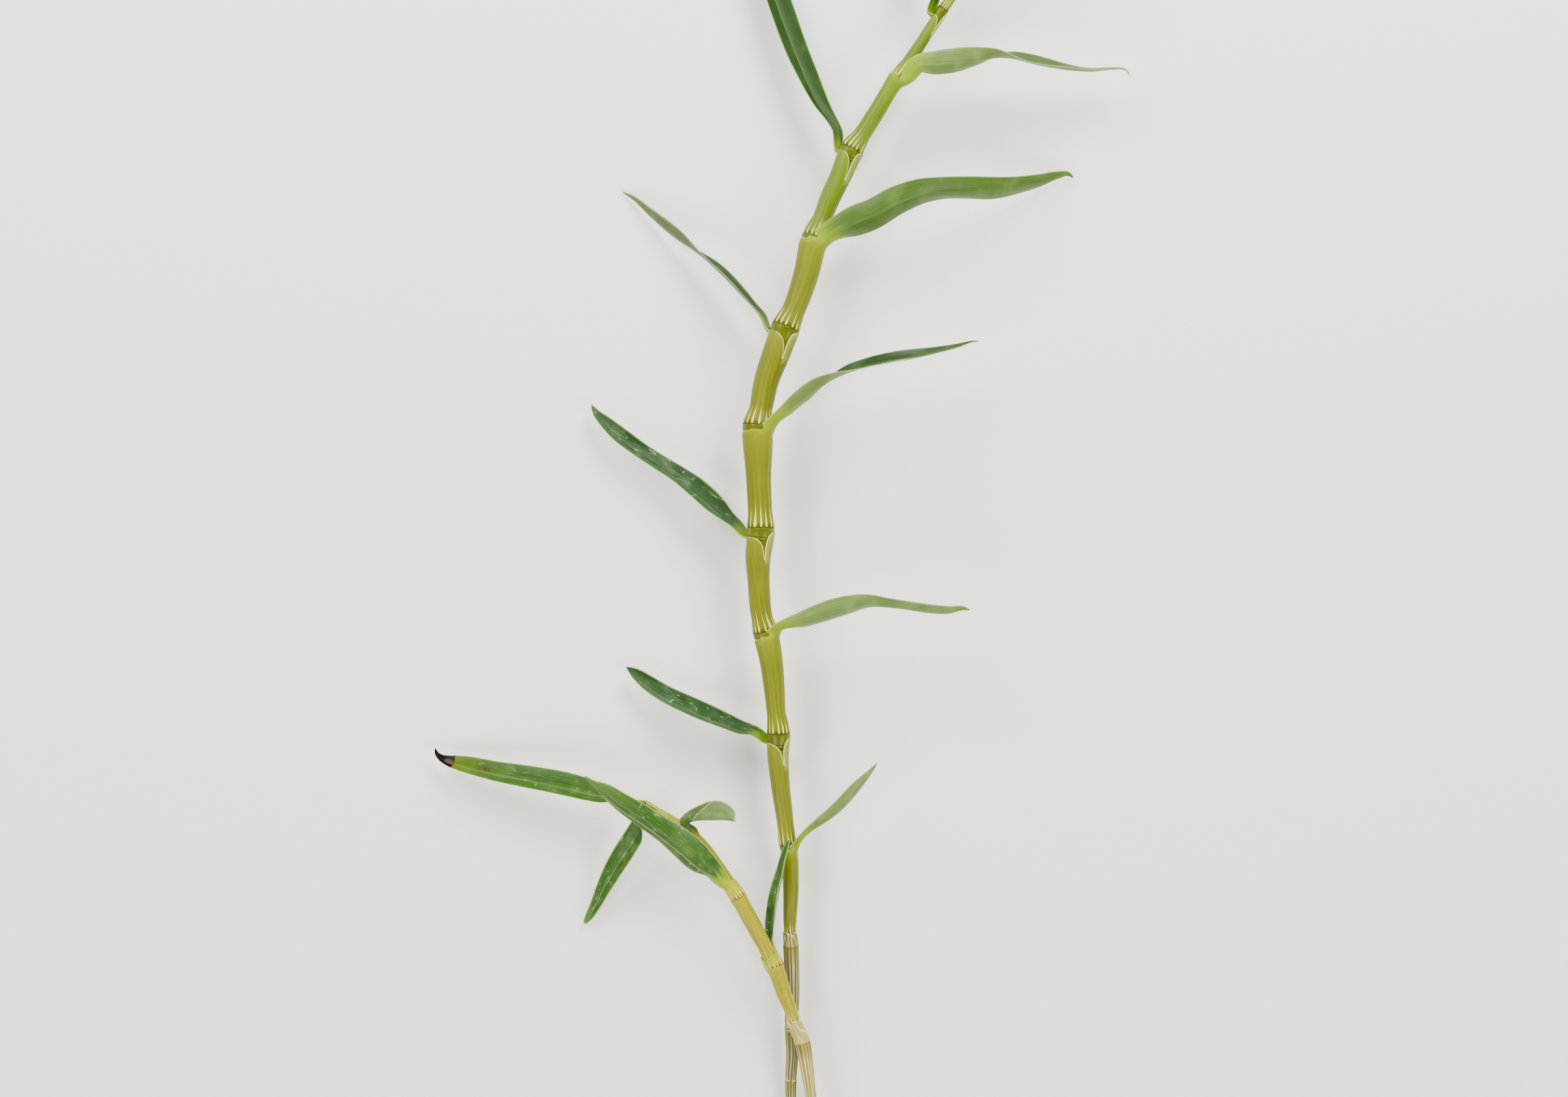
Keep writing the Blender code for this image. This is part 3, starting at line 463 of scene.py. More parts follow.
class Route:
    """A smooth curve through rows of numbers, whose first three are a place. Distances are along it."""

    def __init__(self, rows: Sequence[Sequence[float]]) -> None:
        """Fits the curve.

        Args:
            rows: what it goes through.
        """
        self.rows = np.array(rows, float)
        steps = np.linalg.norm(np.diff(self.rows[:, :3], axis=0), axis=1)
        self.marks = np.concatenate(([0.0], np.cumsum(steps)))
        rates = np.diff(self.rows, axis=0) / steps[:, None]
        self.slopes = np.vstack((rates[:1], rates))
        for i in range(1, len(rates)):
            before, after = steps[i - 1], steps[i]
            self.slopes[i] = (rates[i - 1] * after + rates[i] * before) / (before + after)

    @property
    def length(self) -> float:
        """The distance from the first row to the last."""
        return float(self.marks[-1])

    def at(self, distance: float) -> tuple[np.ndarray, np.ndarray]:
        """Reads the curve.

        Args:
            distance: how far along it.

        Returns:
            The row of numbers there, and the unit direction.
        """
        i = int(np.clip(np.searchsorted(self.marks, distance) - 1, 0, len(self.marks) - 2))
        span = self.marks[i + 1] - self.marks[i]
        t = (distance - self.marks[i]) / span
        a, b = self.rows[i], self.rows[i + 1]
        m, n = self.slopes[i] * span, self.slopes[i + 1] * span
        row = (2 * t**3 - 3 * t**2 + 1) * a + (t**3 - 2 * t**2 + t) * m
        row = row + (3 * t**2 - 2 * t**3) * b + (t**3 - t**2) * n
        rate = (6 * t**2 - 6 * t) * (a - b) + (3 * t**2 - 4 * t + 1) * m + (3 * t**2 - 2 * t) * n
        return row, unit(rate[:3])


@dataclass
class Sheet:
    """A grid of points with a thickness, which becomes a thin closed skin.

    points is rows by columns by 3 in millimetres. inward points to the face that is the inside, thick is
    the thickness at each point, closed says which rows are whole rings, and maps holds the coordinates in
    millimetres that the materials read.
    """

    points: np.ndarray
    inward: np.ndarray
    thick: np.ndarray
    closed: np.ndarray
    maps: dict[str, np.ndarray]

    def normals(self) -> np.ndarray:
        """Finds which way the sheet faces.

        Returns:
            The unit normal at each point, on the inward side.
        """
        along = np.gradient(self.points, axis=0)
        across = np.gradient(self.points, axis=1)
        wrap = self.points[:, 1] - self.points[:, -2]
        across[self.closed, 0] = wrap[self.closed]
        across[self.closed, -1] = wrap[self.closed]
        normal = np.cross(across, along)
        normal /= np.linalg.norm(normal, axis=2, keepdims=True)
        flip = np.sign(np.sum(normal * self.inward, axis=2, keepdims=True))
        return normal * np.where(flip == 0, 1.0, flip)

    def build(self, name: str, outside: Material, inside: Material) -> Object:
        """Makes the object.

        Args:
            name: its name.
            outside: the material of the outer face and the edges.
            inside: the material of the inner face.

        Returns:
            The object, linked to the scene.
        """
        rows, columns = self.points.shape[:2]
        shift = self.normals() * (0.5 * self.thick)[:, :, None]
        corners = np.concatenate((self.points - shift, self.points + shift)).reshape(-1, 3)
        corners[:, 2] = np.maximum(corners[:, 2], FLOOR)
        grid = np.arange(rows * columns).reshape(rows, columns)
        inner = grid + rows * columns
        loops = [
            np.stack((grid[:-1, :-1], grid[:-1, 1:], grid[1:, 1:], grid[1:, :-1]), axis=-1).reshape(-1, 4),
            np.stack(
                (inner[:-1, :-1], inner[1:, :-1], inner[1:, 1:], inner[:-1, 1:]), axis=-1
            ).reshape(-1, 4),
            np.stack((grid[0, :-1], inner[0, :-1], inner[0, 1:], grid[0, 1:]), axis=-1),
            np.stack((grid[-1, :-1], grid[-1, 1:], inner[-1, 1:], inner[-1, :-1]), axis=-1),
        ]
        open_rows = np.nonzero(~(self.closed[:-1] & self.closed[1:]))[0]
        for column, order in ((0, 1), (-1, -1)):
            low, high = grid[open_rows, column], grid[open_rows + 1, column]
            inner_low, inner_high = inner[open_rows, column], inner[open_rows + 1, column]
            loops.append(np.stack((low, high, inner_high, inner_low)[::order], axis=-1))
        quads = np.concatenate(loops)
        wrapped = np.arange(2 * rows * columns)
        for side in (grid, inner):
            wrapped[side[self.closed, -1]] = side[self.closed, 0]
        used, faces = np.unique(wrapped[quads], return_inverse=True)
        mesh = bpy.data.meshes.new(name)
        mesh.from_pydata((corners[used] * MM).tolist(), [], faces.reshape(-1, 4).tolist())
        slots = np.zeros(len(quads), np.int32)
        slots[len(loops[0]) : len(loops[0]) + len(loops[1])] = 1
        mesh.polygons.foreach_set("material_index", slots)
        flat = quads.ravel() % (rows * columns)
        for key, values in self.maps.items():
            layer = mesh.uv_layers.new(name=key)
            layer.data.foreach_set("uv", values.reshape(-1, 2)[flat].astype(np.float32).ravel())
        for material in (outside, inside):
            mesh.materials.append(material)
        mesh.shade_smooth()
        mesh.validate()
        made = bpy.data.objects.new(name, mesh)
        bpy.context.scene.collection.objects.link(made)
        return made


@dataclass(frozen=True)
class SheathTones:
    """The colours of a sheath: its ground, ribs, painted shade at its foot between the ribs, and the lip
    round its notch.
    """

    ground: str
    shade: str
    light: str
    rib: str
    foot: str
    lip: str


@dataclass(frozen=True)
class BladeTones:
    """The colours of one face of a blade, from its young base outwards."""

    base: str
    ground: str
    shade: str
    light: str
    midrib: str
    margin: str


@dataclass(frozen=True)
class Lay:
    """Where a spot of a leaf lies, and the noises there, as sockets that the leaf's paints read.

    across is the distance from the midrib, along that past the mouth, rise that above the ring, tip that to
    the tip, all in millimetres, and place holds across, along and the leaf's number. angle is the turn round
    the leaf. streak and wide are fine and broad noises drawn out lengthwise, patch and cell are even ones.
    """

    across: Any
    along: Any
    rise: Any
    tip: Any
    place: Any
    angle: Any
    streak: Any
    wide: Any
    patch: Any
    cell: Any


@dataclass(frozen=True)
class LeafSkin:
    """The waxy cuticle of a leaf, one face of it, from its sheath out to the tip.

    A dendrobium leaf is smooth and faintly waxy with veins that run lengthwise. On the sheath they stand
    out as pale ribs just above the ring and fade upward, and the blade starts in a bright young green.
    """

    name: str
    sheath: SheathTones
    blade: BladeTones
    roughness: float = 0.42
    specular: float = 0.22
    rib_count: int = 14
    rib_length: float = 7.0
    vein_count: int = 13
    base_start: float = 7.0
    base_length: float = 16.0
    midrib_place: float = 0.0
    sheen_side: float = 0.0
    tip_light: float = 0.0
    scratches: float = 0.0
    scratch_cell: float = 3.0
    spots: float = 0.0
    fold: float = 0.0
    withered: bool = False

    def make(self) -> Material:
        """Makes the skin.

        Returns:
            The material.
        """
        coat = Coat(self.name, self.roughness, self.specular)
        add = coat.add
        across, along = coat.read("grain")
        turn, rise = coat.read("turn")
        margin, tip = coat.read("edge")

        # turn is the share round the leaf, with 2 added for each leaf, so that no two have one pattern
        half_turn = add("MULTIPLY", turn, 0.499)
        leaf = add("ROUND", half_turn)
        angle = add("MULTIPLY", turn, math.pi)
        sine = add("SINE", angle)
        level = add("MULTIPLY_ADD", along, 0.015, leaf)
        spread = add("CombineXYZ", add("COSINE", angle), sine, level)
        place = add("CombineXYZ", across, along, leaf)
        lay = Lay(
            across, along, rise, tip, place, angle,
            # On a sheath 36 mm round, streaks 1.5 mm wide and 17 mm long, as its fibres, then wider ones
            streak=add("TexNoise", spread, Scale=4.0, Detail=4.0),
            wide=add("TexNoise", spread, Scale=1.3, Detail=1.0),
            # Patches of 8 mm and cells of 0.4 mm, as a leaf's uneven green
            patch=add("TexNoise", place, Scale=0.12, Detail=2.0),
            cell=add("TexNoise", place, Scale=2.5, Detail=2.0),
        )

        colour, relief = self.paint_sheath(add, lay)
        # The far margin of a notch is a ragged band of young green, about 3 mm wide
        ragged = add("MULTIPLY_ADD", lay.cell, 2.4, margin)
        band = add("MapRange", ragged, 4.2, 3.4, 0.0, 0.6)
        far = add("MapRange", sine, 0.02, -0.02)
        scuff = add("MULTIPLY", band, far)
        colour = add("Mix", scuff, colour, "93A63C")
        blade, vein = self.paint_blade(add, lay)
        wandering = add("MULTIPLY_ADD", lay.streak, 12.0, along)
        bright = add("MapRange", wandering, 4.0, 11.0, **SMOOTH)
        start = 6.0 + self.base_start
        green = add("MapRange", wandering, start, start + self.base_length, **SMOOTH)
        colour = add("Mix", bright, colour, self.blade.base)
        colour = add("Mix", green, colour, blade)
        if self.fold:
            colour = self.fold_over(add, lay, colour)
        edge = add("Mix", add("MapRange", along, 3.0, 8.0), self.sheath.lip, self.blade.margin)
        thin = add("MapRange", margin, 0.55, 0.3, 0.0, 0.8)
        colour = add("Mix", thin, colour, edge)
        if self.scratches:
            scratch = add("MULTIPLY", self.draw_scratches(add, lay), green)
            colour = add("Mix", scratch, colour, "B8DC98")
        if self.spots:
            # Dried water drops up to 1 mm across, about 3 mm apart
            drops = add("TexVoronoi", place, Scale=0.5)
            drop = add("MapRange", drops, 0.3, 0.2, 0.0, self.spots)
            colour = add("Mix", drop, colour, "BFD3A0")
        if self.withered:
            colour = self.wither(add, lay, colour)

        fine = add("MULTIPLY_ADD", vein, 0.04, relief)
        height = add("MULTIPLY_ADD", lay.cell, 0.1, fine)
        return coat.finish(colour, height, 0.2, 0.8, lay.patch, 0.07, 0.07)

    def paint_sheath(self, add: Adder, lay: Lay) -> tuple[Any, Any]:
        """Paints the sheath: streaked, paler under its mouth, ribbed above the ring, with painted shade
        between the ribs at its foot.

        Args:
            add: adds a node.
            lay: the leaf's sockets.

        Returns:
            The colour and the ribs' relief.
        """
        tones, rise, streak = self.sheath, lay.rise, lay.streak
        # Uneven ribs: a wave round the sheath whose crests narrow upward, each to its own length
        turned = add("MULTIPLY", lay.angle, float(self.rib_count))
        shifted = add("MULTIPLY_ADD", lay.wide, 9.0, turned)
        wave = add("COSINE", shifted)
        reach = add("MapRange", lay.wide, 0.35, 0.65, 0.6 * self.rib_length, 1.4 * self.rib_length)
        ratio = add("DIVIDE", rise, reach)
        crest = add("MULTIPLY_ADD", ratio, -0.7, wave)
        rib = add("MapRange", crest, 0.1, 0.6, **SMOOTH)
        # Above the ribs they go on as faint lines, out to about 30 mm
        line = add("MapRange", wave, 0.6, 1.0)
        fade = add("MapRange", rise, 30.0, 6.0, 0.02, 0.1)
        faint = add("MULTIPLY", line, fade)
        mottle = add("MapRange", streak, *STREAK_SPAN)
        colour = add("Mix", mottle, tones.ground, tones.shade)
        high = add("MULTIPLY_ADD", streak, 10.0, lay.along)
        light = add("MapRange", high, -9.0, 6.0, 0.0, 0.6, **SMOOTH)
        colour = add("Mix", light, colour, tones.light)
        colour = add("Mix", faint, colour, tones.rib)
        # Painted shade: just above the ring the sheath is darkened between the ribs, in the foot colour
        arch = add("MULTIPLY_ADD", wave, 0.8, rise)
        foot = add("MapRange", arch, 1.5, 0.8, **SMOOTH)
        colour = add("Mix", rib, colour, tones.rib)
        colour = add("Mix", foot, colour, tones.foot)
        return colour, add("MULTIPLY_ADD", faint, 0.5, rib)

    def paint_blade(self, add: Adder, lay: Lay) -> tuple[Any, Any]:
        """Paints the blade: parallel veins that run together at the tip, a line along the midrib, and
        painted sheen on one half.

        Args:
            add: adds a node.
            lay: the leaf's sockets.

        Returns:
            The colour and the veins' relief.
        """
        tones = self.blade
        # 13 veins over a blade 12 mm wide are 0.9 mm apart
        bent = add("MULTIPLY", lay.streak, 4.0)
        phase = add("MULTIPLY_ADD", lay.angle, float(self.vein_count), bent)
        vein = add("SINE", phase)
        mottle = add("MapRange", lay.streak, *STREAK_SPAN)
        darker = add("MULTIPLY_ADD", vein, 0.25, mottle, use_clamp=True)
        colour = add("Mix", darker, tones.ground, tones.shade)
        pale = add("MapRange", lay.patch, 0.45, 0.75, 0.0, 0.8, **SMOOTH)
        ending = add("MapRange", lay.tip, 30.0, 6.0, 0.0, self.tip_light)
        # Random paler patches, a paler tip, and painted sheen: one half beside the midrib is painted lighter
        aside = add("SUBTRACT", lay.across, self.midrib_place)
        side = 1.0 if self.sheen_side > 0 else -1.0
        beyond = add("MULTIPLY", aside, side)
        half = add("MapRange", beyond, -0.3, 0.6, 0.0, abs(self.sheen_side))
        patches_and_sheen = add("MAXIMUM", pale, ending)
        patches_and_sheen = add("MAXIMUM", patches_and_sheen, half)
        colour = add("Mix", patches_and_sheen, colour, tones.light)
        distance = add("ABSOLUTE", aside)
        line = add("MapRange", distance, 0.38, 0.14, 0.0, 0.7)
        return add("Mix", line, colour, tones.midrib), vein

    def fold_over(self, add: Adder, lay: Lay, colour: Any) -> Any:
        """Shades the blade up to the line where it folds over, and lets its pale margin show there.

        Args:
            add: adds a node.
            lay: the leaf's sockets.
            colour: the colour so far.

        Returns:
            The colour with the fold.
        """
        apart = add("ABSOLUTE", lay.across)
        slant = add("MULTIPLY_ADD", apart, -1.5, lay.along)
        past = add("SUBTRACT", slant, self.fold)
        # The shade deepens over the last 11 mm before the line
        depth = add("MapRange", past, -12.0, -1.0, 0.2, 0.9)
        before = add("MapRange", past, 0.2, -0.2)
        shade = add("MULTIPLY", depth, before)
        colour = add("Mix", shade, colour, "425A22")
        nearness = add("ABSOLUTE", past)
        line = add("MapRange", nearness, 0.5, 0.2, 0.0, 0.7)
        return add("Mix", line, colour, "A2BC74")

    def draw_scratches(self, add: Adder, lay: Lay) -> Any:
        """Draws pale scratches, where the cuticle was rubbed: hair lines that wander along the blade.

        Args:
            add: adds a node.
            lay: the leaf's sockets.

        Returns:
            How strong a scratch is there.
        """
        # Each line is about 0.2 mm wide, and they lie about a cell apart
        squeezed = (0.9 / self.scratch_cell, 0.16 / self.scratch_cell, 1.0)
        folds = add("TexNoise", add("Mapping", lay.place, Scale=squeezed), Scale=1.0, Detail=0.0)
        level = add("SUBTRACT", folds, 0.5)
        nearness = add("ABSOLUTE", level)
        line = add("MapRange", nearness, 0.02, 0.006)
        broken = add("TexNoise", lay.place, Scale=0.25, Detail=2.0)
        kept = add("MapRange", broken, 0.46, 0.6, 0.0, self.scratches)
        return add("MULTIPLY", line, kept)

    def wither(self, add: Adder, lay: Lay, colour: Any) -> Any:
        """Lets the last 12 mm of the blade die back to black, past a yellowed part with a brown smudge.

        Args:
            add: adds a node.
            lay: the leaf's sockets.
            colour: the colour so far.

        Returns:
            The colour with the dead tip.
        """
        rough = add("MULTIPLY_ADD", lay.cell, 2.0, lay.tip)
        yellow = add("MapRange", rough, 34.0, 15.0, 0.0, 0.8)
        colour = add("Mix", yellow, colour, "5F7400")
        across = add("SeparateXYZ", lay.place)
        beside = add("MULTIPLY_ADD", across, 0.5, 0.9)
        before = add("MULTIPLY_ADD", lay.tip, 0.26, -7.0)
        spot = add("CombineXYZ", beside, before)
        distance = add("VectorMath", spot, operation="LENGTH").node.outputs["Value"]
        ragged = add("MULTIPLY_ADD", lay.cell, 1.6, distance)
        stain = add("MapRange", ragged, 2.0, 1.1, 0.0, 0.65)
        colour = add("Mix", stain, colour, "4E3A10")
        black = add("MapRange", rough, 13.6, 12.8)
        colour = add("Mix", black, colour, "0E0807")
        # The dead tip is hollow, and its inner skin is brown
        beside = add("MULTIPLY_ADD", across, 0.9, 0.5)
        before = add("MULTIPLY_ADD", lay.tip, 0.5, -5.0)
        inner = add("CombineXYZ", beside, before)
        deep = add("VectorMath", inner, operation="LENGTH").node.outputs["Value"]
        hollow = add("MapRange", deep, 1.5, 0.9)
        return add("Mix", hollow, colour, "5C4234")


@dataclass(frozen=True)
class CaneSkin:
    """The cane's own bare skin, which shows at the rings: smooth, dark olive, glossy as a green twig."""

    name: str = "bare_cane_skin"
    colour: str = "5E6400"
    shade: str = "4A5000"
    roughness: float = 0.3
    specular: float = 0.26

    def make(self) -> Material:
        """Makes the skin.

        Returns:
            The material.
        """
        coat = Coat(self.name, self.roughness, self.specular)
        add = coat.add
        angle, along = coat.read("grain")
        # Patches about 7 mm wide and 8 mm long, with finer ones in them, as a cane ripens unevenly
        arc = add("MULTIPLY", angle, 6.0)
        stretched = add("Mapping", add("CombineXYZ", arc, along), Scale=(0.14, 0.12, 1.0))
        streak = add("TexNoise", stretched, Scale=1.0, Detail=2.0)
        colour = add("Mix", add("MapRange", streak, 0.35, 0.65), self.shade, self.colour)
        return coat.finish(colour, streak, 0.15, 0.6, streak, 0.05, 0.08)


@dataclass(frozen=True)
class PaperySkin:
    """A dried sheath: thin and papery, cream along its ribs, with the green cane showing between them."""

    name: str
    rib: str
    between: str
    thread: str
    ring: str
    glow: str
    veil: str
    rib_count: int = 14
    roughness: float = 0.6
    specular: float = 0.25

    def make(self) -> Material:
        """Makes the skin.

        Returns:
            The material.
        """
        coat = Coat(self.name, self.roughness, self.specular)
        add = coat.add
        grain = add("UVMap", uv_map="grain")
        along = add("SeparateXYZ", grain).node.outputs["Y"]
        mouth, node_gap = coat.read("edge")
        angle = add("MULTIPLY", coat.read("turn")[0], math.pi)
        cosine = add("COSINE", angle)
        sine = add("SINE", angle)
        spread = add("CombineXYZ", cosine, sine, add("MULTIPLY", along, 0.012))
        # 14 ribs round a sheath 18 mm round are 1.3 mm apart, with fibres of 0.5 mm between them
        streak = add("TexNoise", spread, Scale=5.0, Detail=3.0)
        wide = add("TexNoise", spread, Scale=1.4, Detail=1.0)
        turned = add("MULTIPLY", angle, float(self.rib_count))
        shifted = add("MULTIPLY_ADD", wide, 11.0, turned)
        wave = add("COSINE", shifted)
        uneven = add("MULTIPLY_ADD", streak, 2.4, wave)
        rib = add("MapRange", uneven, 1.35, 1.85, **SMOOTH)
        colour = add("Mix", rib, self.between, self.rib)
        # A thin brown-pink thread beside each rib
        aside = add("SUBTRACT", uneven, 1.2)
        strand = add("MapRange", add("ABSOLUTE", aside), 0.3, 0.1)
        colour = add("Mix", strand, colour, self.thread)
        # The living ring shows through just below itself, between the ribs
        glow_low = add("MapRange", node_gap, -10.0, -2.0, **SMOOTH)
        glow_high = add("MapRange", node_gap, 0.8, -0.4)
        glow = add("MULTIPLY", glow_low, glow_high)
        bare = add("MULTIPLY_ADD", rib, -0.5, 1.0)
        seen = add("MULTIPLY", glow, bare)
        colour = add("Mix", seen, colour, self.glow)
        away = add("MULTIPLY_ADD", streak, 2.0, node_gap)
        middle = add("SUBTRACT", away, 1.0)
        near = add("ABSOLUTE", middle)
        colour = add("Mix", add("MapRange", near, 0.7, 0.25, 0.0, 0.75), colour, self.ring)
        # Above the ring the mouth is torn to pale fibres of 0.3 mm that wander along and cross
        web = add("TexNoise", add("Mapping", grain, Scale=(0.42, 0.09, 1.0)), Scale=1.0, Detail=0.0)
        spacing = add("ABSOLUTE", add("SUBTRACT", web, 0.5))
        fibre = add("MapRange", spacing, 0.05, 0.02, 0.0, 0.75)
        fanned = add("MULTIPLY_ADD", streak, 3.0, node_gap)
        above = add("MapRange", fanned, 1.6, 3.4)
        veil = add("MULTIPLY", above, 0.85)
        colour = add("Mix", veil, colour, self.veil)
        crossing = add("MULTIPLY", fibre, above)
        colour = add("Mix", crossing, colour, "E6DAA0")
        colour = add("Mix", add("MapRange", mouth, 0.5, 0.15), colour, "EEE2B8")
        return coat.finish(colour, uneven, 0.15, 0.7, streak, 0.1, 0.1)


@dataclass(frozen=True)
class RootSkin:
    """The rootstock's bark: woody, fibrous and brown, with pale dry scales."""

    name: str = "rootstock_bark"
    bark: str = "5A4220"
    scale: str = "96794A"
    crack: str = "2C1E10"
    roughness: float = 0.8
    specular: float = 0.3

    def make(self) -> Material:
        """Makes the skin.

        Returns:
            The material.
        """
        coat = Coat(self.name, self.roughness, self.specular)
        add = coat.add
        place = add("TexCoord").node.outputs["Object"]
        # Scales about 2 mm across and fibres of 0.5 mm
        scales = add("TexNoise", place, Scale=500.0, Detail=4.0)
        colour = add("Mix", add("MapRange", scales, 0.38, 0.5), self.crack, self.bark)
        colour = add("Mix", add("MapRange", scales, 0.5, 0.66), colour, self.scale)
        return coat.finish(colour, scales, 0.4, 0.8)


@dataclass
class Cane:
    """A jointed cane: its axis, the width over its sheaths, its rings and the skin between them."""

    name: str
    knots: Sequence[Knot]
    bare_rings: Sequence[str]
    side_steps: int = 40
    wall: float = 0.5
    gap: float = 0.1
    ring_reach: float = 5.5
    ring_drop: float = 1.3
    row_step: float = 1.5
    ring_rows: tuple[float, float, float] = (-6.0, 0.9, 0.3)
    top_cut: float = 4.5
    route: Route = field(init=False)
    rings: dict[str, float] = field(init=False)

    def __post_init__(self) -> None:
        """Fits the axis and finds the rings along it."""
        self.route = Route([tuple(at(k.x, k.y, k.height)) for k in self.knots])
        self.rings = {k.ring: float(m) for k, m in zip(self.knots, self.route.marks) if k.ring}

    def outer(self, distance: float) -> float:
        """Gives the radius over the sheath at a distance."""
        return 0.5 * float(np.interp(distance, self.route.marks, [k.width for k in self.knots]))

    def bare(self, distance: float) -> float:
        """Finds how thick the cane itself is: it fits in its sheath and swells to full width at a ring.

        Args:
            distance: how far along the cane.

        Returns:
            The radius there.
        """
        depth = self.wall + self.gap
        inside = self.outer(distance) - self.wall - self.gap
        for name in self.bare_rings:
            below = self.rings[name] - self.ring_drop - distance
            if -0.2 < below < self.ring_reach:
                return inside + depth * ease(self.ring_reach - below, 0.0, self.ring_reach - 0.4)
        return inside

    def build(self, skin: Material) -> Object:
        """Makes the cane's mesh, as a closed tube with rounded ends.

        Args:
            skin: its material.

        Returns:
            The object.
        """
        top = self.route.length - self.top_cut
        stops = set(np.arange(0.0, top, self.row_step)) | {top}
        for name in self.bare_rings:
            stops |= {self.rings[name] - self.ring_drop + d for d in np.arange(*self.ring_rows)}
        stops = sorted(d for d in stops if 0.0 <= d <= top)
        turns = np.linspace(-math.pi, math.pi, self.side_steps + 1)
        rows, grain, turn = [], [], []
        for distance in stops:
            place, direction = self.route.at(distance)
            end = min(distance, top - distance)
            radius = self.bare(distance) * min(1.0, 0.35 + 0.65 * ease(end, -0.1, 1.2))
            normal = facing(direction, 90.0, Flank.RIGHT)
            across = np.cross(direction, normal)
            rows.append([place + radius * (math.sin(a) * across - math.cos(a) * normal) for a in turns])
            grain.append([(a, distance) for a in turns])
            turn.append([(a / math.pi, distance) for a in turns])
        points = np.array(rows)
        centre = points[:, :-1].mean(axis=1, keepdims=True)
        thick = 0.9 * np.linalg.norm(points - centre, axis=2)
        shifted = points + (centre - points) * 0.45
        maps = {"grain": np.array(grain), "turn": np.array(turn), "edge": np.array(turn)}
        closed = np.ones(len(points), bool)
        return Sheet(shifted, centre - points, thick, closed, maps).build(self.name, skin, skin)


@dataclass
class Leaf:
    """One leaf: a sheath closed up to its V notch, the open mouth, and the blade out to its tip."""

    plan: LeafPlan
    cane: Cane
    number: int
    columns: int = 40
    wall: float = 0.42
    blade_wall: float = 0.5
    notch: float = 16.0
    notch_share: float = 0.36
    mouth_share: float = 0.13
    mouth_angle: float = 84.0
    far_wing: float = 3.6
    neck_clearance: float = 1.0
    blade_leans: float = 14.0
    row_step: float = 1.5
    blade_step: float = 1.8
    seam_turn: float = 15.0
    ring_crossing: float = 0.47
    wing_start: float = 0.35
    wing_reach: float = 0.45
    wing_flare: float = 0.12
    wing_fade: float = 3.5
    overrun_swell: float = 0.35
    ripple: float = 0.35
    ripple_length: float = 7.0
    blunt_length: float = 1.5
    roll: float = field(init=False)
    side: float = field(init=False)
    mouth: float = field(init=False)
    base: float = field(init=False)
    length: float = field(init=False)
    midrib: Route = field(init=False)
    sheath: list[tuple[float, float, float, float]] = field(init=False)
    shares: np.ndarray = field(init=False)
    around: np.ndarray = field(init=False)
    wing: np.ndarray = field(init=False)

    def __post_init__(self) -> None:
        """Finds the mouth, the side on which the near margin lies, the columns and the midrib."""
        self.roll = 90.0 + self.plan.lift
        self.sheath = self.sheath_rows()
        self.mouth = self.sheath[-1][0]
        direction = self.cane.route.at(self.mouth)[1]
        self.side = 1.0 if np.cross(direction, self.upward(direction))[2] > 0 else -1.0
        self.shares = np.linspace(-1.0, 1.0, self.columns + 1)
        self.around = self.side * self.shares + 2.0 * self.number
        self.wing = self.wing_rise(self.side * self.shares)
        self.midrib = self.blade_route()
        self.base = float(self.midrib.marks[1])
        self.length = self.midrib.length - self.base

    @property
    def start(self) -> float:
        """Where the sheath starts along the cane."""
        return self.cane.rings[self.plan.start] + self.plan.start_gap

    @property
    def ring(self) -> float:
        """Where the ring above the mouth lies."""
        return self.cane.rings[self.plan.ring]

    @property
    def seam(self) -> float:
        """How far the bottom of the notch stands round towards the eye, in degrees."""
        return self.seam_turn if self.plan.flank is Flank.LEFT and self.plan.lift < 0 else 0.0

    def upward(self, direction: np.ndarray) -> np.ndarray:
        """Gives the way from the sheath's midrib to the cane's axis, where the cane runs in a direction."""
        return facing(direction, self.roll, self.plan.flank)

    def notch_edges(self, share: float) -> tuple[float, float]:
        """Gives how far the near and the far edge stand round the cane from the midrib, in degrees.

        Args:
            share: the height in the notch, from 0 at its bottom to 1 at the mouth.

        Returns:
            The near edge's angle and the far edge's.
        """
        edges = NOTCH_TURNED if self.seam else NOTCH_WRAPPED if self.plan.overrun else NOTCH_PLAIN
        near, far = ((*edge, self.mouth_angle) for edge in edges)
        return float(np.interp(share, NOTCH_HEIGHTS, near)), float(np.interp(share, NOTCH_HEIGHTS, far))

    def wing_rise(self, shares: np.ndarray) -> np.ndarray:
        """Gives how much higher than the midrib's mouth each column ends, in millimetres.

        Args:
            shares: the columns, from -1 at the far margin to 1 at the near one.

        Returns:
            The rises.
        """
        far, near = (self.far_wing, 0.0) if self.seam else (self.plan.wing, self.plan.wing)
        share = np.clip((np.abs(shares) - self.wing_start) / self.wing_reach, 0.0, 1.0)
        return np.where(shares < 0, far, near) * share * share * (3 - 2 * share)

    def sheath_rows(self) -> list[tuple[float, float, float, float]]:
        """Lays out the sheath from its foot to the middle of its mouth.

        Returns:
            Rows of distance, near edge's angle, far edge's angle and height in the notch.
        """
        top = self.ring + self.plan.overrun
        length = top - self.start
        mouth = top - min(self.plan.mouth, self.mouth_share * length)
        bottom = top - min(self.notch, self.notch_share * length)
        count = max(8, int((bottom - self.start) / self.row_step))
        levels = set(np.linspace(self.start, bottom, count))
        if self.ring < bottom:
            # Two rows close together, between which the pattern of the next joint starts
            levels |= {self.ring - 0.5, self.ring - 0.45}
        rows = []
        for distance in sorted(levels):
            turned = self.seam * ease(distance, self.start, bottom)
            rows.append((distance, 180.0 - turned, 180.0 + turned, 0.0))
        shares = [*np.linspace(0.05, 0.8, 12), *np.linspace(0.83, 1.0, 10)]
        return rows + [(bottom + s * (mouth - bottom), *self.notch_edges(s), s) for s in shares]

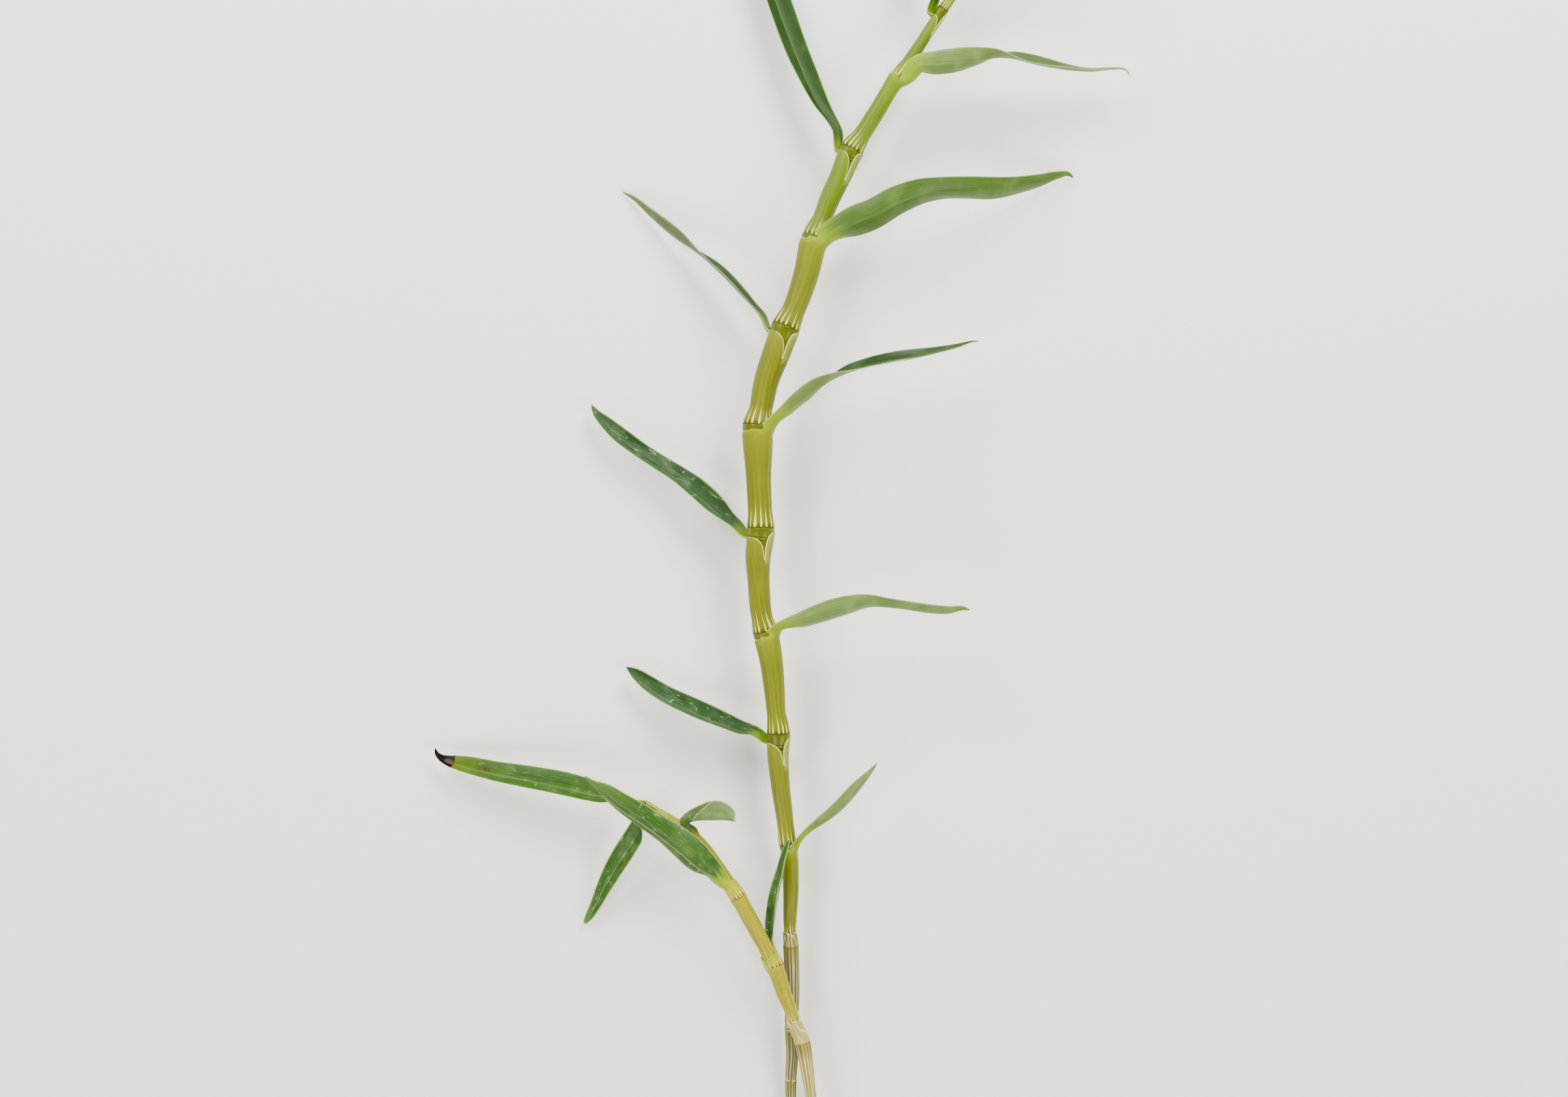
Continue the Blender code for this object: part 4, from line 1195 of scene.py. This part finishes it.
    def blade_route(self) -> Route:
        """Lays the midrib out from just below the mouth to the tip.

        Returns:
            The curve, with a half width and a roll at each place.
        """
        rows, half = [], 0.0
        for distance in (self.mouth - 3.0, self.mouth):
            place, direction = self.cane.route.at(distance)
            radius = self.cane.outer(distance) - 0.5 * self.wall
            half = radius * math.radians(self.mouth_angle)
            rows.append((*(place - radius * self.upward(direction)), half, self.roll))
        neck = self.mouth + (-0.6 if self.seam else 2.6)
        place, direction = self.cane.route.at(neck)
        reach = self.cane.outer(neck) + self.neck_clearance
        first = self.plan.stations[0]
        beside = place - reach * self.upward(direction)
        rows.append((*beside, 0.5 * (half + first[3]), 0.5 * (self.roll + first[4])))
        rows += [(*at(x, y, height), width, turn) for x, y, height, width, turn in self.plan.stations]
        return Route(rows)

    def sheath_strip(self) -> Iterator[tuple[Any, ...]]:
        """Shapes the sheath row by row.

        Returns:
            For each row its points, ways inward, grain, turn and thicknesses, and whether it is a ring.
        """
        swell = self.overrun_swell * (self.plan.overrun > 0)
        for distance, near, far, height in self.sheath:
            right, left = (near, far) if self.side > 0 else (far, near)
            angles = np.radians(np.where(self.shares > 0, self.shares * right, self.shares * left))
            lifts = height * self.wing
            row, insides, frames = [], [], {}
            for angle, lifted in zip(angles, lifts):
                if lifted not in frames:
                    place, direction = self.cane.route.at(distance + lifted)
                    radius = self.cane.outer(distance + lifted) - 0.5 * self.wall + self.wing_flare * lifted
                    radius += swell * ease(distance, self.ring - 3.0, self.ring)
                    normal = self.upward(direction)
                    frames[lifted] = place, radius * normal, radius * np.cross(direction, normal)
                place, normal, across = frames[lifted]
                spot = place + math.sin(angle) * across - math.cos(angle) * normal
                row.append(spot)
                insides.append(place - spot)
            crossed = self.plan.overrun and distance > self.ring - self.ring_crossing
            above = distance - (self.ring if crossed else self.start)
            arc = self.side * angles * self.cane.outer(distance)
            grain = np.stack((arc, distance - self.mouth + lifts), axis=1)
            turn = np.stack((self.around, above + lifts), axis=1)
            yield row, insides, grain, turn, np.full(len(angles), self.wall), near + far == 360.0

    def blade_strip(self) -> Iterator[tuple[Any, ...]]:
        """Shapes the blade row by row.

        Returns:
            The same for each row as for one of the sheath.
        """
        shares = self.shares
        cane_direction = self.cane.route.at(self.mouth)[1]
        middle_steps = np.arange(6.0, self.length - 4.0, self.blade_step)
        steps = (np.arange(0.5, 6.0, 0.6), middle_steps, self.length - np.array(TIP_STEPS))
        for beyond in np.concatenate(steps):
            row, direction = self.midrib.at(self.base + beyond)
            openness = 1.0 - math.exp(-beyond / (8.0 if self.seam else 5.0))
            edge = self.mouth_angle + (self.plan.curl - self.mouth_angle) * openness
            blunt = 1.0 - min(1.0, (self.length - beyond) / self.blunt_length)
            half = max(0.12, row[3]) * math.sqrt(max(0.05, 1.0 - blunt**2))
            profile = self.section(half, edge, 1.0 - 0.5 * openness, self.columns // 2)
            lean = min(1.0, beyond / self.blade_leans)
            direction = unit(lean * direction + (1.0 - lean) * cane_direction)
            normal = facing(direction, row[4], self.plan.flank)
            across = np.cross(direction, normal)
            ripple = self.ripple * np.sin(beyond / self.ripple_length + 3.0 * shares) * shares**2
            ripple *= ease(beyond, 6.0, 20.0)
            ripple *= min(1.0, half / 4.0)
            spread = profile[:, :1] * across + (profile[:, 1:] + ripple[:, None]) * normal
            lifted = self.wing * math.exp(-beyond / self.wing_fade)
            points = row[:3] + spread + lifted[:, None] * cane_direction
            grain = np.stack((self.side * shares * half, beyond + lifted), axis=1)
            above = np.full(len(shares), self.mouth - self.start + beyond)
            turn = np.stack((self.around, above), axis=1)
            thinned = 1.0 - 0.55 * np.abs(shares) ** 3
            thick = self.blade_wall * thinned * min(1.0, 0.35 + half / 3.0)
            yield points, np.tile(normal, (len(shares), 1)), grain, turn, thick, False

    def build(self, outside: Material, inside: Material) -> Object:
        """Makes the leaf's mesh.

        Args:
            outside: the material of the sheath's outside and the blade's lower face.
            inside: the material of the sheath's inside and the blade's upper face.

        Returns:
            The object.
        """
        rows = [*self.sheath_strip(), *self.blade_strip()]
        points, inward, grain, turn, thick, closed = (np.array(column) for column in zip(*rows))
        edge = np.stack((self.margin_distance(grain, closed), self.length - grain[:, :, 1]), axis=2)
        sheet = Sheet(points, inward, thick, closed, {"grain": grain, "turn": turn, "edge": edge})
        return sheet.build(self.plan.name + "_skin", outside, inside)

    @staticmethod
    def section(half: float, edge: float, power: float, steps: int) -> np.ndarray:
        """Gives a cross-section, which turns from flat at the midrib to the edge's angle at its margins.

        Args:
            half: the half width, along the sheet.
            edge: the angle at the margins, in degrees.
            power: 1 for an arc, less for a channel with a crease at the midrib.
            steps: the number of steps on each side.

        Returns:
            Rows of (across, towards the upper face), from the left margin to the right.
        """
        angles = np.radians(edge) * ((np.arange(steps) + 0.5) / steps) ** power
        run = np.cumsum(np.cos(angles)) * half / steps
        lift = np.cumsum(np.sin(angles)) * half / steps
        right = np.stack((np.concatenate(([0.0], run)), np.concatenate(([0.0], lift))), axis=1)
        return np.concatenate((right[:0:-1] * (-1.0, 1.0), right))

    @staticmethod
    def margin_distance(grain: np.ndarray, closed: np.ndarray) -> np.ndarray:
        """Measures how far each point of the flattened leaf lies from its margins.

        Args:
            grain: the points, as (across, along) in millimetres.
            closed: which rows are whole rings and have no margin.

        Returns:
            The distances, by row and column.
        """
        margins = np.concatenate((grain[~closed, 0], grain[~closed, -1]))
        gaps = np.linalg.norm(grain[:, :, None, :] - margins[None, None, :, :], axis=3)
        return gaps.min(axis=2)


@dataclass
class PaperySheath:
    """A dry sheath without a blade, with a torn mouth."""

    name: str
    cane: Cane
    start: str
    start_gap: float
    end: str
    end_gap: float
    columns: int = 36
    wall: float = 0.3
    tear: float = 1.6
    flare: float = 0.25
    swell: float = 0.15
    row_step: float = 1.2
    seed: int = 1

    def build(self, skin: Material) -> Object:
        """Makes the sheath's mesh.

        Args:
            skin: its material.

        Returns:
            The object.
        """
        start = self.cane.rings[self.start] + self.start_gap
        end = self.cane.rings[self.end] + self.end_gap
        random = np.random.default_rng(self.seed)
        turns = np.linspace(-math.pi, math.pi, self.columns + 1)
        torn = random.uniform(0.0, 1.0, self.columns)
        torn = self.tear * (0.6 * torn + 0.4 * np.roll(torn, 1))
        torn = np.append(torn, torn[0])
        levels = np.linspace(0.0, 1.0, max(8, int((end - start) / self.row_step)))
        rows = []
        for level in levels:
            spots = []
            for a, cut in zip(turns, torn):
                distance = start + level * (end - cut - start)
                place, direction = self.cane.route.at(distance)
                flare = self.flare * ease(level, 0.93, 1.0) * math.sin(5 * a + self.seed)
                radius = self.cane.outer(distance) - 0.5 * self.wall + flare
                radius += self.swell * ease(distance, start + 0.8, start + 3.0)
                normal = facing(direction, 90.0, Flank.RIGHT)
                across = np.cross(direction, normal)
                spot = place + radius * (math.sin(a) * across - math.cos(a) * normal)
                below_edge, above_ring = end - cut - distance, distance - self.cane.rings[self.end]
                turn = (a / math.pi, distance - start)
                spots.append((spot, place - spot, (a * radius, distance), turn, (below_edge, above_ring)))
            rows.append([np.array(column) for column in zip(*spots)])
        points, inward, grain, turn, edge = (np.array(column) for column in zip(*rows))
        thick, closed = np.full(points.shape[:2], self.wall), np.ones(len(points), bool)
        sheet = Sheet(points, inward, thick, closed, {"grain": grain, "turn": turn, "edge": edge})
        return sheet.build(self.name + "_skin", skin, skin)


@dataclass
class Rootstock:
    """The short thick piece that carries both canes, ringed and knobbly, and flat where it rests."""

    name: str = "rootstock"
    line: Sequence[tuple[float, float, float, float]] = ROOTSTOCK_LINE
    side_steps: int = 48
    rows: int = 60
    inset: float = 0.4
    ridge: float = 0.18
    ridge_rate: float = 46.0
    knob: float = 0.22

    def build(self, skin: Material) -> Object:
        """Makes the rootstock's mesh.

        Args:
            skin: its material.

        Returns:
            The object.
        """
        route = Route(self.line)
        turns = np.linspace(-math.pi, math.pi, self.side_steps + 1)
        points, centres = [], []
        for share in np.linspace(0.0, 1.0, self.rows):
            row, direction = route.at(route.length * share)
            normal = facing(direction, 0.0, Flank.RIGHT)
            across = np.cross(direction, normal)
            ridge = self.ridge * math.sin(share * self.ridge_rate)
            knob = np.sin(3 * turns + 9 * share) * np.cos(5 * turns - 13 * share)
            radius = row[3] - self.inset + ridge + self.knob * knob * min(1.0, 6 * share, 6 * (1 - share))
            radius = radius * math.sqrt(min(1.0, 0.15 + 14 * min(share, 1 - share)))
            outward = np.sin(turns)[:, None] * across - np.cos(turns)[:, None] * normal
            ring = row[:3] + radius[:, None] * outward
            ring[:, 2] = np.maximum(ring[:, 2], FLOOR)
            ring[-1] = ring[0]
            points.append(ring)
            centres.append(np.tile(row[:3], (len(turns), 1)))
        shape, centre = np.array(points), np.array(centres)
        flat = np.zeros((*shape.shape[:2], 2))
        maps = {"grain": flat, "turn": flat, "edge": flat}
        inside = shape + 0.3 * (centre - shape)
        thick = 0.6 * np.linalg.norm(centre - shape, axis=2)
        sheet = Sheet(inside, centre - shape, thick, np.ones(len(shape), bool), maps)
        return sheet.build(self.name + "_skin", skin, skin)


@dataclass
class Studio:
    """The plain pale table, the soft light and the camera at the photograph's angle, in metres.

    A lamp is its name, its azimuth in degrees and its strength.
    """

    table: str = "FBF9F5"
    table_reach: float = 3.0
    table_drop: float = 0.0003
    room: str = "F2F3F0"
    room_strength: float = 0.3
    lamps: Sequence[tuple[str, float, float]] = (
        ("top_right", 60, 1.5), ("top_left", 130, 1.1), ("low_left", 225, 0.7), ("low_right", 315, 0.7),
    )
    lamp: str = "FFFDF8"
    lamp_power: float = 28.5
    lamp_distance: float = 1.7
    lamp_elevation: float = 40.0
    lamp_size: float = 0.9
    middle: tuple[float, float, float] = (-0.005, 0.278, 0.0)
    sensor_mm: float = 36.0

    def build(self) -> None:
        """Makes the table, the lights and the camera."""
        self.lay_table()
        self.light()
        self.set_camera()

    def place(self, name: str, data: bpy.types.ID) -> Object:
        """Makes an object and links it to the scene.

        Args:
            name: its name.
            data: its mesh, lamp or lens.

        Returns:
            The object.
        """
        made = bpy.data.objects.new(name, data)
        bpy.context.scene.collection.objects.link(made)
        return made

    def lay_table(self) -> None:
        """Makes the table just under the plant: white and matt, so that it throws no glare."""
        material = bpy.data.materials.new("matt_white_table")
        material.use_nodes = True
        shader = material.node_tree.nodes["Principled BSDF"]
        shader.inputs["Base Color"].default_value = linear(self.table)
        shader.inputs["Roughness"].default_value = 0.9
        mesh = bpy.data.meshes.new("table")
        sides = ((-1, -1), (1, -1), (1, 1), (-1, 1))
        corners = [(x * self.table_reach, y * self.table_reach, -self.table_drop) for x, y in sides]
        mesh.from_pydata(corners, [], [(0, 1, 2, 3)])
        mesh.materials.append(material)
        self.place("table", mesh)

    def light(self) -> None:
        """Lights the room evenly, with four round lamps that stand about the plant."""
        world = bpy.data.worlds.new("soft_room_light")
        world.use_nodes = True
        background = world.node_tree.nodes["Background"]
        background.inputs["Color"].default_value = linear(self.room)
        background.inputs["Strength"].default_value = self.room_strength
        bpy.context.scene.world = world
        lean = math.radians(self.lamp_elevation)
        for name, azimuth, strength in self.lamps:
            lamp = bpy.data.lights.new(name + "_light", "AREA")
            lamp.shape, lamp.size, lamp.energy = "DISK", self.lamp_size, strength * self.lamp_power
            lamp.color = linear(self.lamp)[:3]
            light = self.place(name + "_light", lamp)
            turn, flat = math.radians(azimuth), math.cos(lean)
            back = np.array((math.cos(turn) * flat, math.sin(turn) * flat, math.sin(lean)))
            light.location = np.array(self.middle) + self.lamp_distance * back
            light.rotation_mode = "QUATERNION"
            light.rotation_quaternion = Vector(tuple(-back)).to_track_quat("-Z", "Y")

    def set_camera(self) -> None:
        """Puts the camera at the eye, straight above, with the photograph's width in view."""
        lens = bpy.data.cameras.new("camera")
        lens.sensor_width = self.sensor_mm
        lens.lens = self.sensor_mm * EYE[2] / (PHOTO_WIDTH * PHOTO_SCALE)
        lens.clip_start, lens.clip_end = 0.05, 20.0
        camera = self.place("camera", lens)
        camera.location = tuple(EYE * MM)
        bpy.context.scene.camera = camera


def skins() -> dict[Dress, tuple[Material, Material]]:
    """Makes the skins of the leaves.

    Returns:
        The outside and the inside skin of each dress.
    """
    # Sheaths: olive on the tall cane, greener at its crown, yellow on the short one, and paler inside
    # The fifth tone of each sheath is painted shade between the ribs at its foot
    tall = SheathTones("6C7100", "5E6406", "7A7E00", "E4DA62", "525000", "D6D888")
    tall_lining = SheathTones("8C9140", "7B8034", "A0A556", "C0C070", "525000", "E4E4B4")
    crown = SheathTones("617803", "576702", "6E8402", "DADC66", "505400", "BCC678")
    crown_lining = SheathTones("83964A", "748640", "96A85C", "BCC87A", "505400", "E0E4B4")
    short = SheathTones("9C9600", "867E00", "AEA800", "E2D870", "7A5E00", "B4AC30")
    short_lining = SheathTones("A09C48", "8E8A3C", "B0AC5A", "CCC880", "7A5E00", "C8C47C")
    # Lower faces are painted pale and grey-green, partly their own colour under the wax and partly painted
    # sheen, and deeper on young and broad leaves
    lower = BladeTones("839D00", "6B8341", "5B7332", "7D9752", "779148", "9AB474")
    dull_lower = BladeTones("839D00", "55673F", "4A5C34", "62744C", "5E7040", "8AA468")
    young_lower = BladeTones("809C00", "476424", "3C581B", "557332", "507228", "82A452")
    near = BladeTones("86A200", "34561A", "2A4B14", "4C6A28", "9AAE58", "8FA650")
    folded = BladeTones("6A7C10", "5F743D", "516832", "748A50", "6A8042", "A0B272")
    # Upper faces are dark and deep green
    upper = BladeTones("789810", "26441B", "1D3A14", "3E5837", "4C7040", "6A9048")
    silvered = BladeTones("789810", "26401A", "1E3612", "3A5229", "4C683A", "74905A")
    crown_upper = BladeTones("789810", "264212", "1F380E", "304E1A", "48702C", "6A9044")
    # A grey-green upper face, painted paler as painted sheen, for young leaves that turn their upper face
    # aside
    sheen_painted_upper = BladeTones("789810", "4A6232", "40562A", "586F3C", "5C7C3C", "86A85C")
    young_upper = BladeTones("789810", "34561A", "2B4A14", "48682A", "5C8034", "78A04C")
    long_upper = BladeTones("789810", "3E6222", "34561C", "4E7030", "5C8034", "78A04C")

    rubbed = {"scratches": 0.35, "scratch_cell": 1.8}
    # A soft green face with faint veins, and the plain dark one of a leaf whose lower face is turned up
    lower_face = LeafSkin("waxy_leaf_lower_face", tall, lower).make()
    silver = LeafSkin(
        "silvered_leaf_upper_face", tall_lining, silvered, 0.44, base_start=3.0, base_length=10.0
    ).make()
    # One half beside the midrib is painted lighter as painted sheen, and pale hair lines show where it was
    # rubbed
    upper_face = LeafSkin(
        "waxy_leaf_upper_face", tall_lining, upper, specular=0.18, base_start=5.5, base_length=7.0,
        midrib_place=1.2, sheen_side=0.75, **rubbed,
    ).make()
    broad = LeafSkin("broad_leaf_lower_face", tall, young_lower, base_start=5.0, base_length=9.0).make()
    dull = LeafSkin("dull_leaf_lower_face", tall, dull_lower, 0.44).make()
    # Young leaves are a brighter green below, and their upper faces are smooth with a soft gloss. The upper
    # face of the two young leaves on the right is painted paler and greyer: painted sheen, in its colour
    crown_lower_face = LeafSkin("young_waxy_leaf_lower_face", crown, young_lower).make()
    crown_upper_face = LeafSkin(
        "young_waxy_leaf_upper_face", crown_lining, crown_upper, 0.44, 0.16, base_start=5.0, base_length=6.0
    ).make()
    pale_lower_face = LeafSkin("pale_young_leaf_lower_face", crown, lower).make()
    sheen_painted_upper_face = LeafSkin(
        "pale_young_leaf_upper_face", crown_lining, sheen_painted_upper, 0.44, base_start=3.0, base_length=10.0
    ).make()
    # On the short cane the leaves are rubbed and spotted, and their green starts close to the mouth
    short_lower_face = LeafSkin(
        "young_shoot_skin_lower_face", short, lower, specular=0.16, rib_length=5.0, base_start=0.0,
        base_length=7.0, spots=0.12,
    ).make()
    short_upper_face = LeafSkin(
        "young_shoot_skin_upper_face", short_lining, young_upper, specular=0.18, base_start=3.0,
        base_length=8.0, scratches=0.5, scratch_cell=1.2,
    ).make()
    near_face = LeafSkin(
        "rubbed_leaf_face", short, near, 0.4, rib_length=5.0, base_start=6.0, base_length=6.0,
        midrib_place=-3.0, tip_light=0.8, **rubbed,
    ).make()
    folded_face = LeafSkin(
        "folded_leaf_lower_face", short, folded, specular=0.18, rib_length=5.0, base_start=1.0,
        base_length=7.0, spots=0.1, fold=11.4,
    ).make()
    # The longest leaf dies back from its tip, to a black and hollow end
    dead_lower = LeafSkin("leaf_back_with_dead_tip", short, lower, withered=True).make()
    dead_upper = LeafSkin(
        "leaf_face_with_dead_tip", short_lining, long_upper, specular=0.18, base_start=3.0,
        base_length=8.0, withered=True, **rubbed,
    ).make()
    return {
        Dress.TALL: (lower_face, upper_face),
        Dress.PALE: (lower_face, silver),
        Dress.BROAD: (broad, silver),
        Dress.DULL: (dull, silver),
        Dress.CROWN: (crown_lower_face, crown_upper_face),
        Dress.PALE_CROWN: (pale_lower_face, sheen_painted_upper_face),
        Dress.SHORT: (short_lower_face, short_upper_face),
        Dress.NEAR: (near_face, short_upper_face),
        Dress.FOLDED: (folded_face, short_upper_face),
        Dress.WITHERED: (dead_lower, dead_upper),
    }


def report(piece: Object, node: str, slot: str) -> None:
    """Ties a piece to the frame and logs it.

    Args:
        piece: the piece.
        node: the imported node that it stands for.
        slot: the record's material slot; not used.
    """
    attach(piece, "root")
    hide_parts(node)
    LOG.info("%s stands for %s, %d faces", piece.name, node, len(piece.data.polygons))


def main() -> None:
    """Builds the stem piece by piece, then the studio."""
    logging.basicConfig(level=logging.INFO, format="%(message)s")
    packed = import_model()
    slots = {part["node"]: part["material_slot"] for part in packed["record"]["subparts"]}
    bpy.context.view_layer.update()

    cane_skin = CaneSkin().make()
    tall_paper = PaperySkin(
        "papery_old_sheath", "BCAC6C", "525E3A", "7A6448", "6A5420", "62641E", "7E7630"
    ).make()
    short_paper = PaperySkin(
        "papery_pale_sheath", "E0CC84", "8A843C", "A07A50", "80661C", "6A6400", "ACA052"
    ).make()
    dresses = skins()
    tall = Cane("tall_cane_skin", TALL_KNOTS, ("H", "G", "F", "E", "D", "C", "B", "A", "Z", "Y"))
    short = Cane("short_cane_skin", SHORT_KNOTS, ("4", "5"))
    report(tall.build(cane_skin), "tall_cane", slots["tall_cane"])
    report(short.build(cane_skin), "short_cane", slots["short_cane"])
    leaves = [(plan, tall) for plan in TALL_LEAVES] + [(plan, short) for plan in SHORT_LEAVES]
    for number, (plan, cane) in enumerate(leaves):
        leaf = Leaf(plan, cane, number).build(*dresses[plan.dress])
        report(leaf, plan.name, slots[plan.name])
    wraps = (
        (PaperySheath("tall_papery_sheath_1", tall, "foot", 0.6, "K", 0.6, seed=3), tall_paper),
        (PaperySheath("tall_papery_sheath_2", tall, "K", -1.2, "J", 3.8, seed=4), tall_paper),
        (PaperySheath("tall_papery_sheath_3", tall, "J", 1.9, "I", 7.7, seed=5), tall_paper),
        (PaperySheath("short_papery_sheath", short, "foot", 0.6, "1", 12.5, seed=6), short_paper),
    )
    for wrap, paper in wraps:
        report(wrap.build(paper), wrap.name, slots[wrap.name])
    report(Rootstock().build(RootSkin().make()), "rootstock", slots["rootstock"])
    Studio().build()


if __name__ == "__main__":
    main()
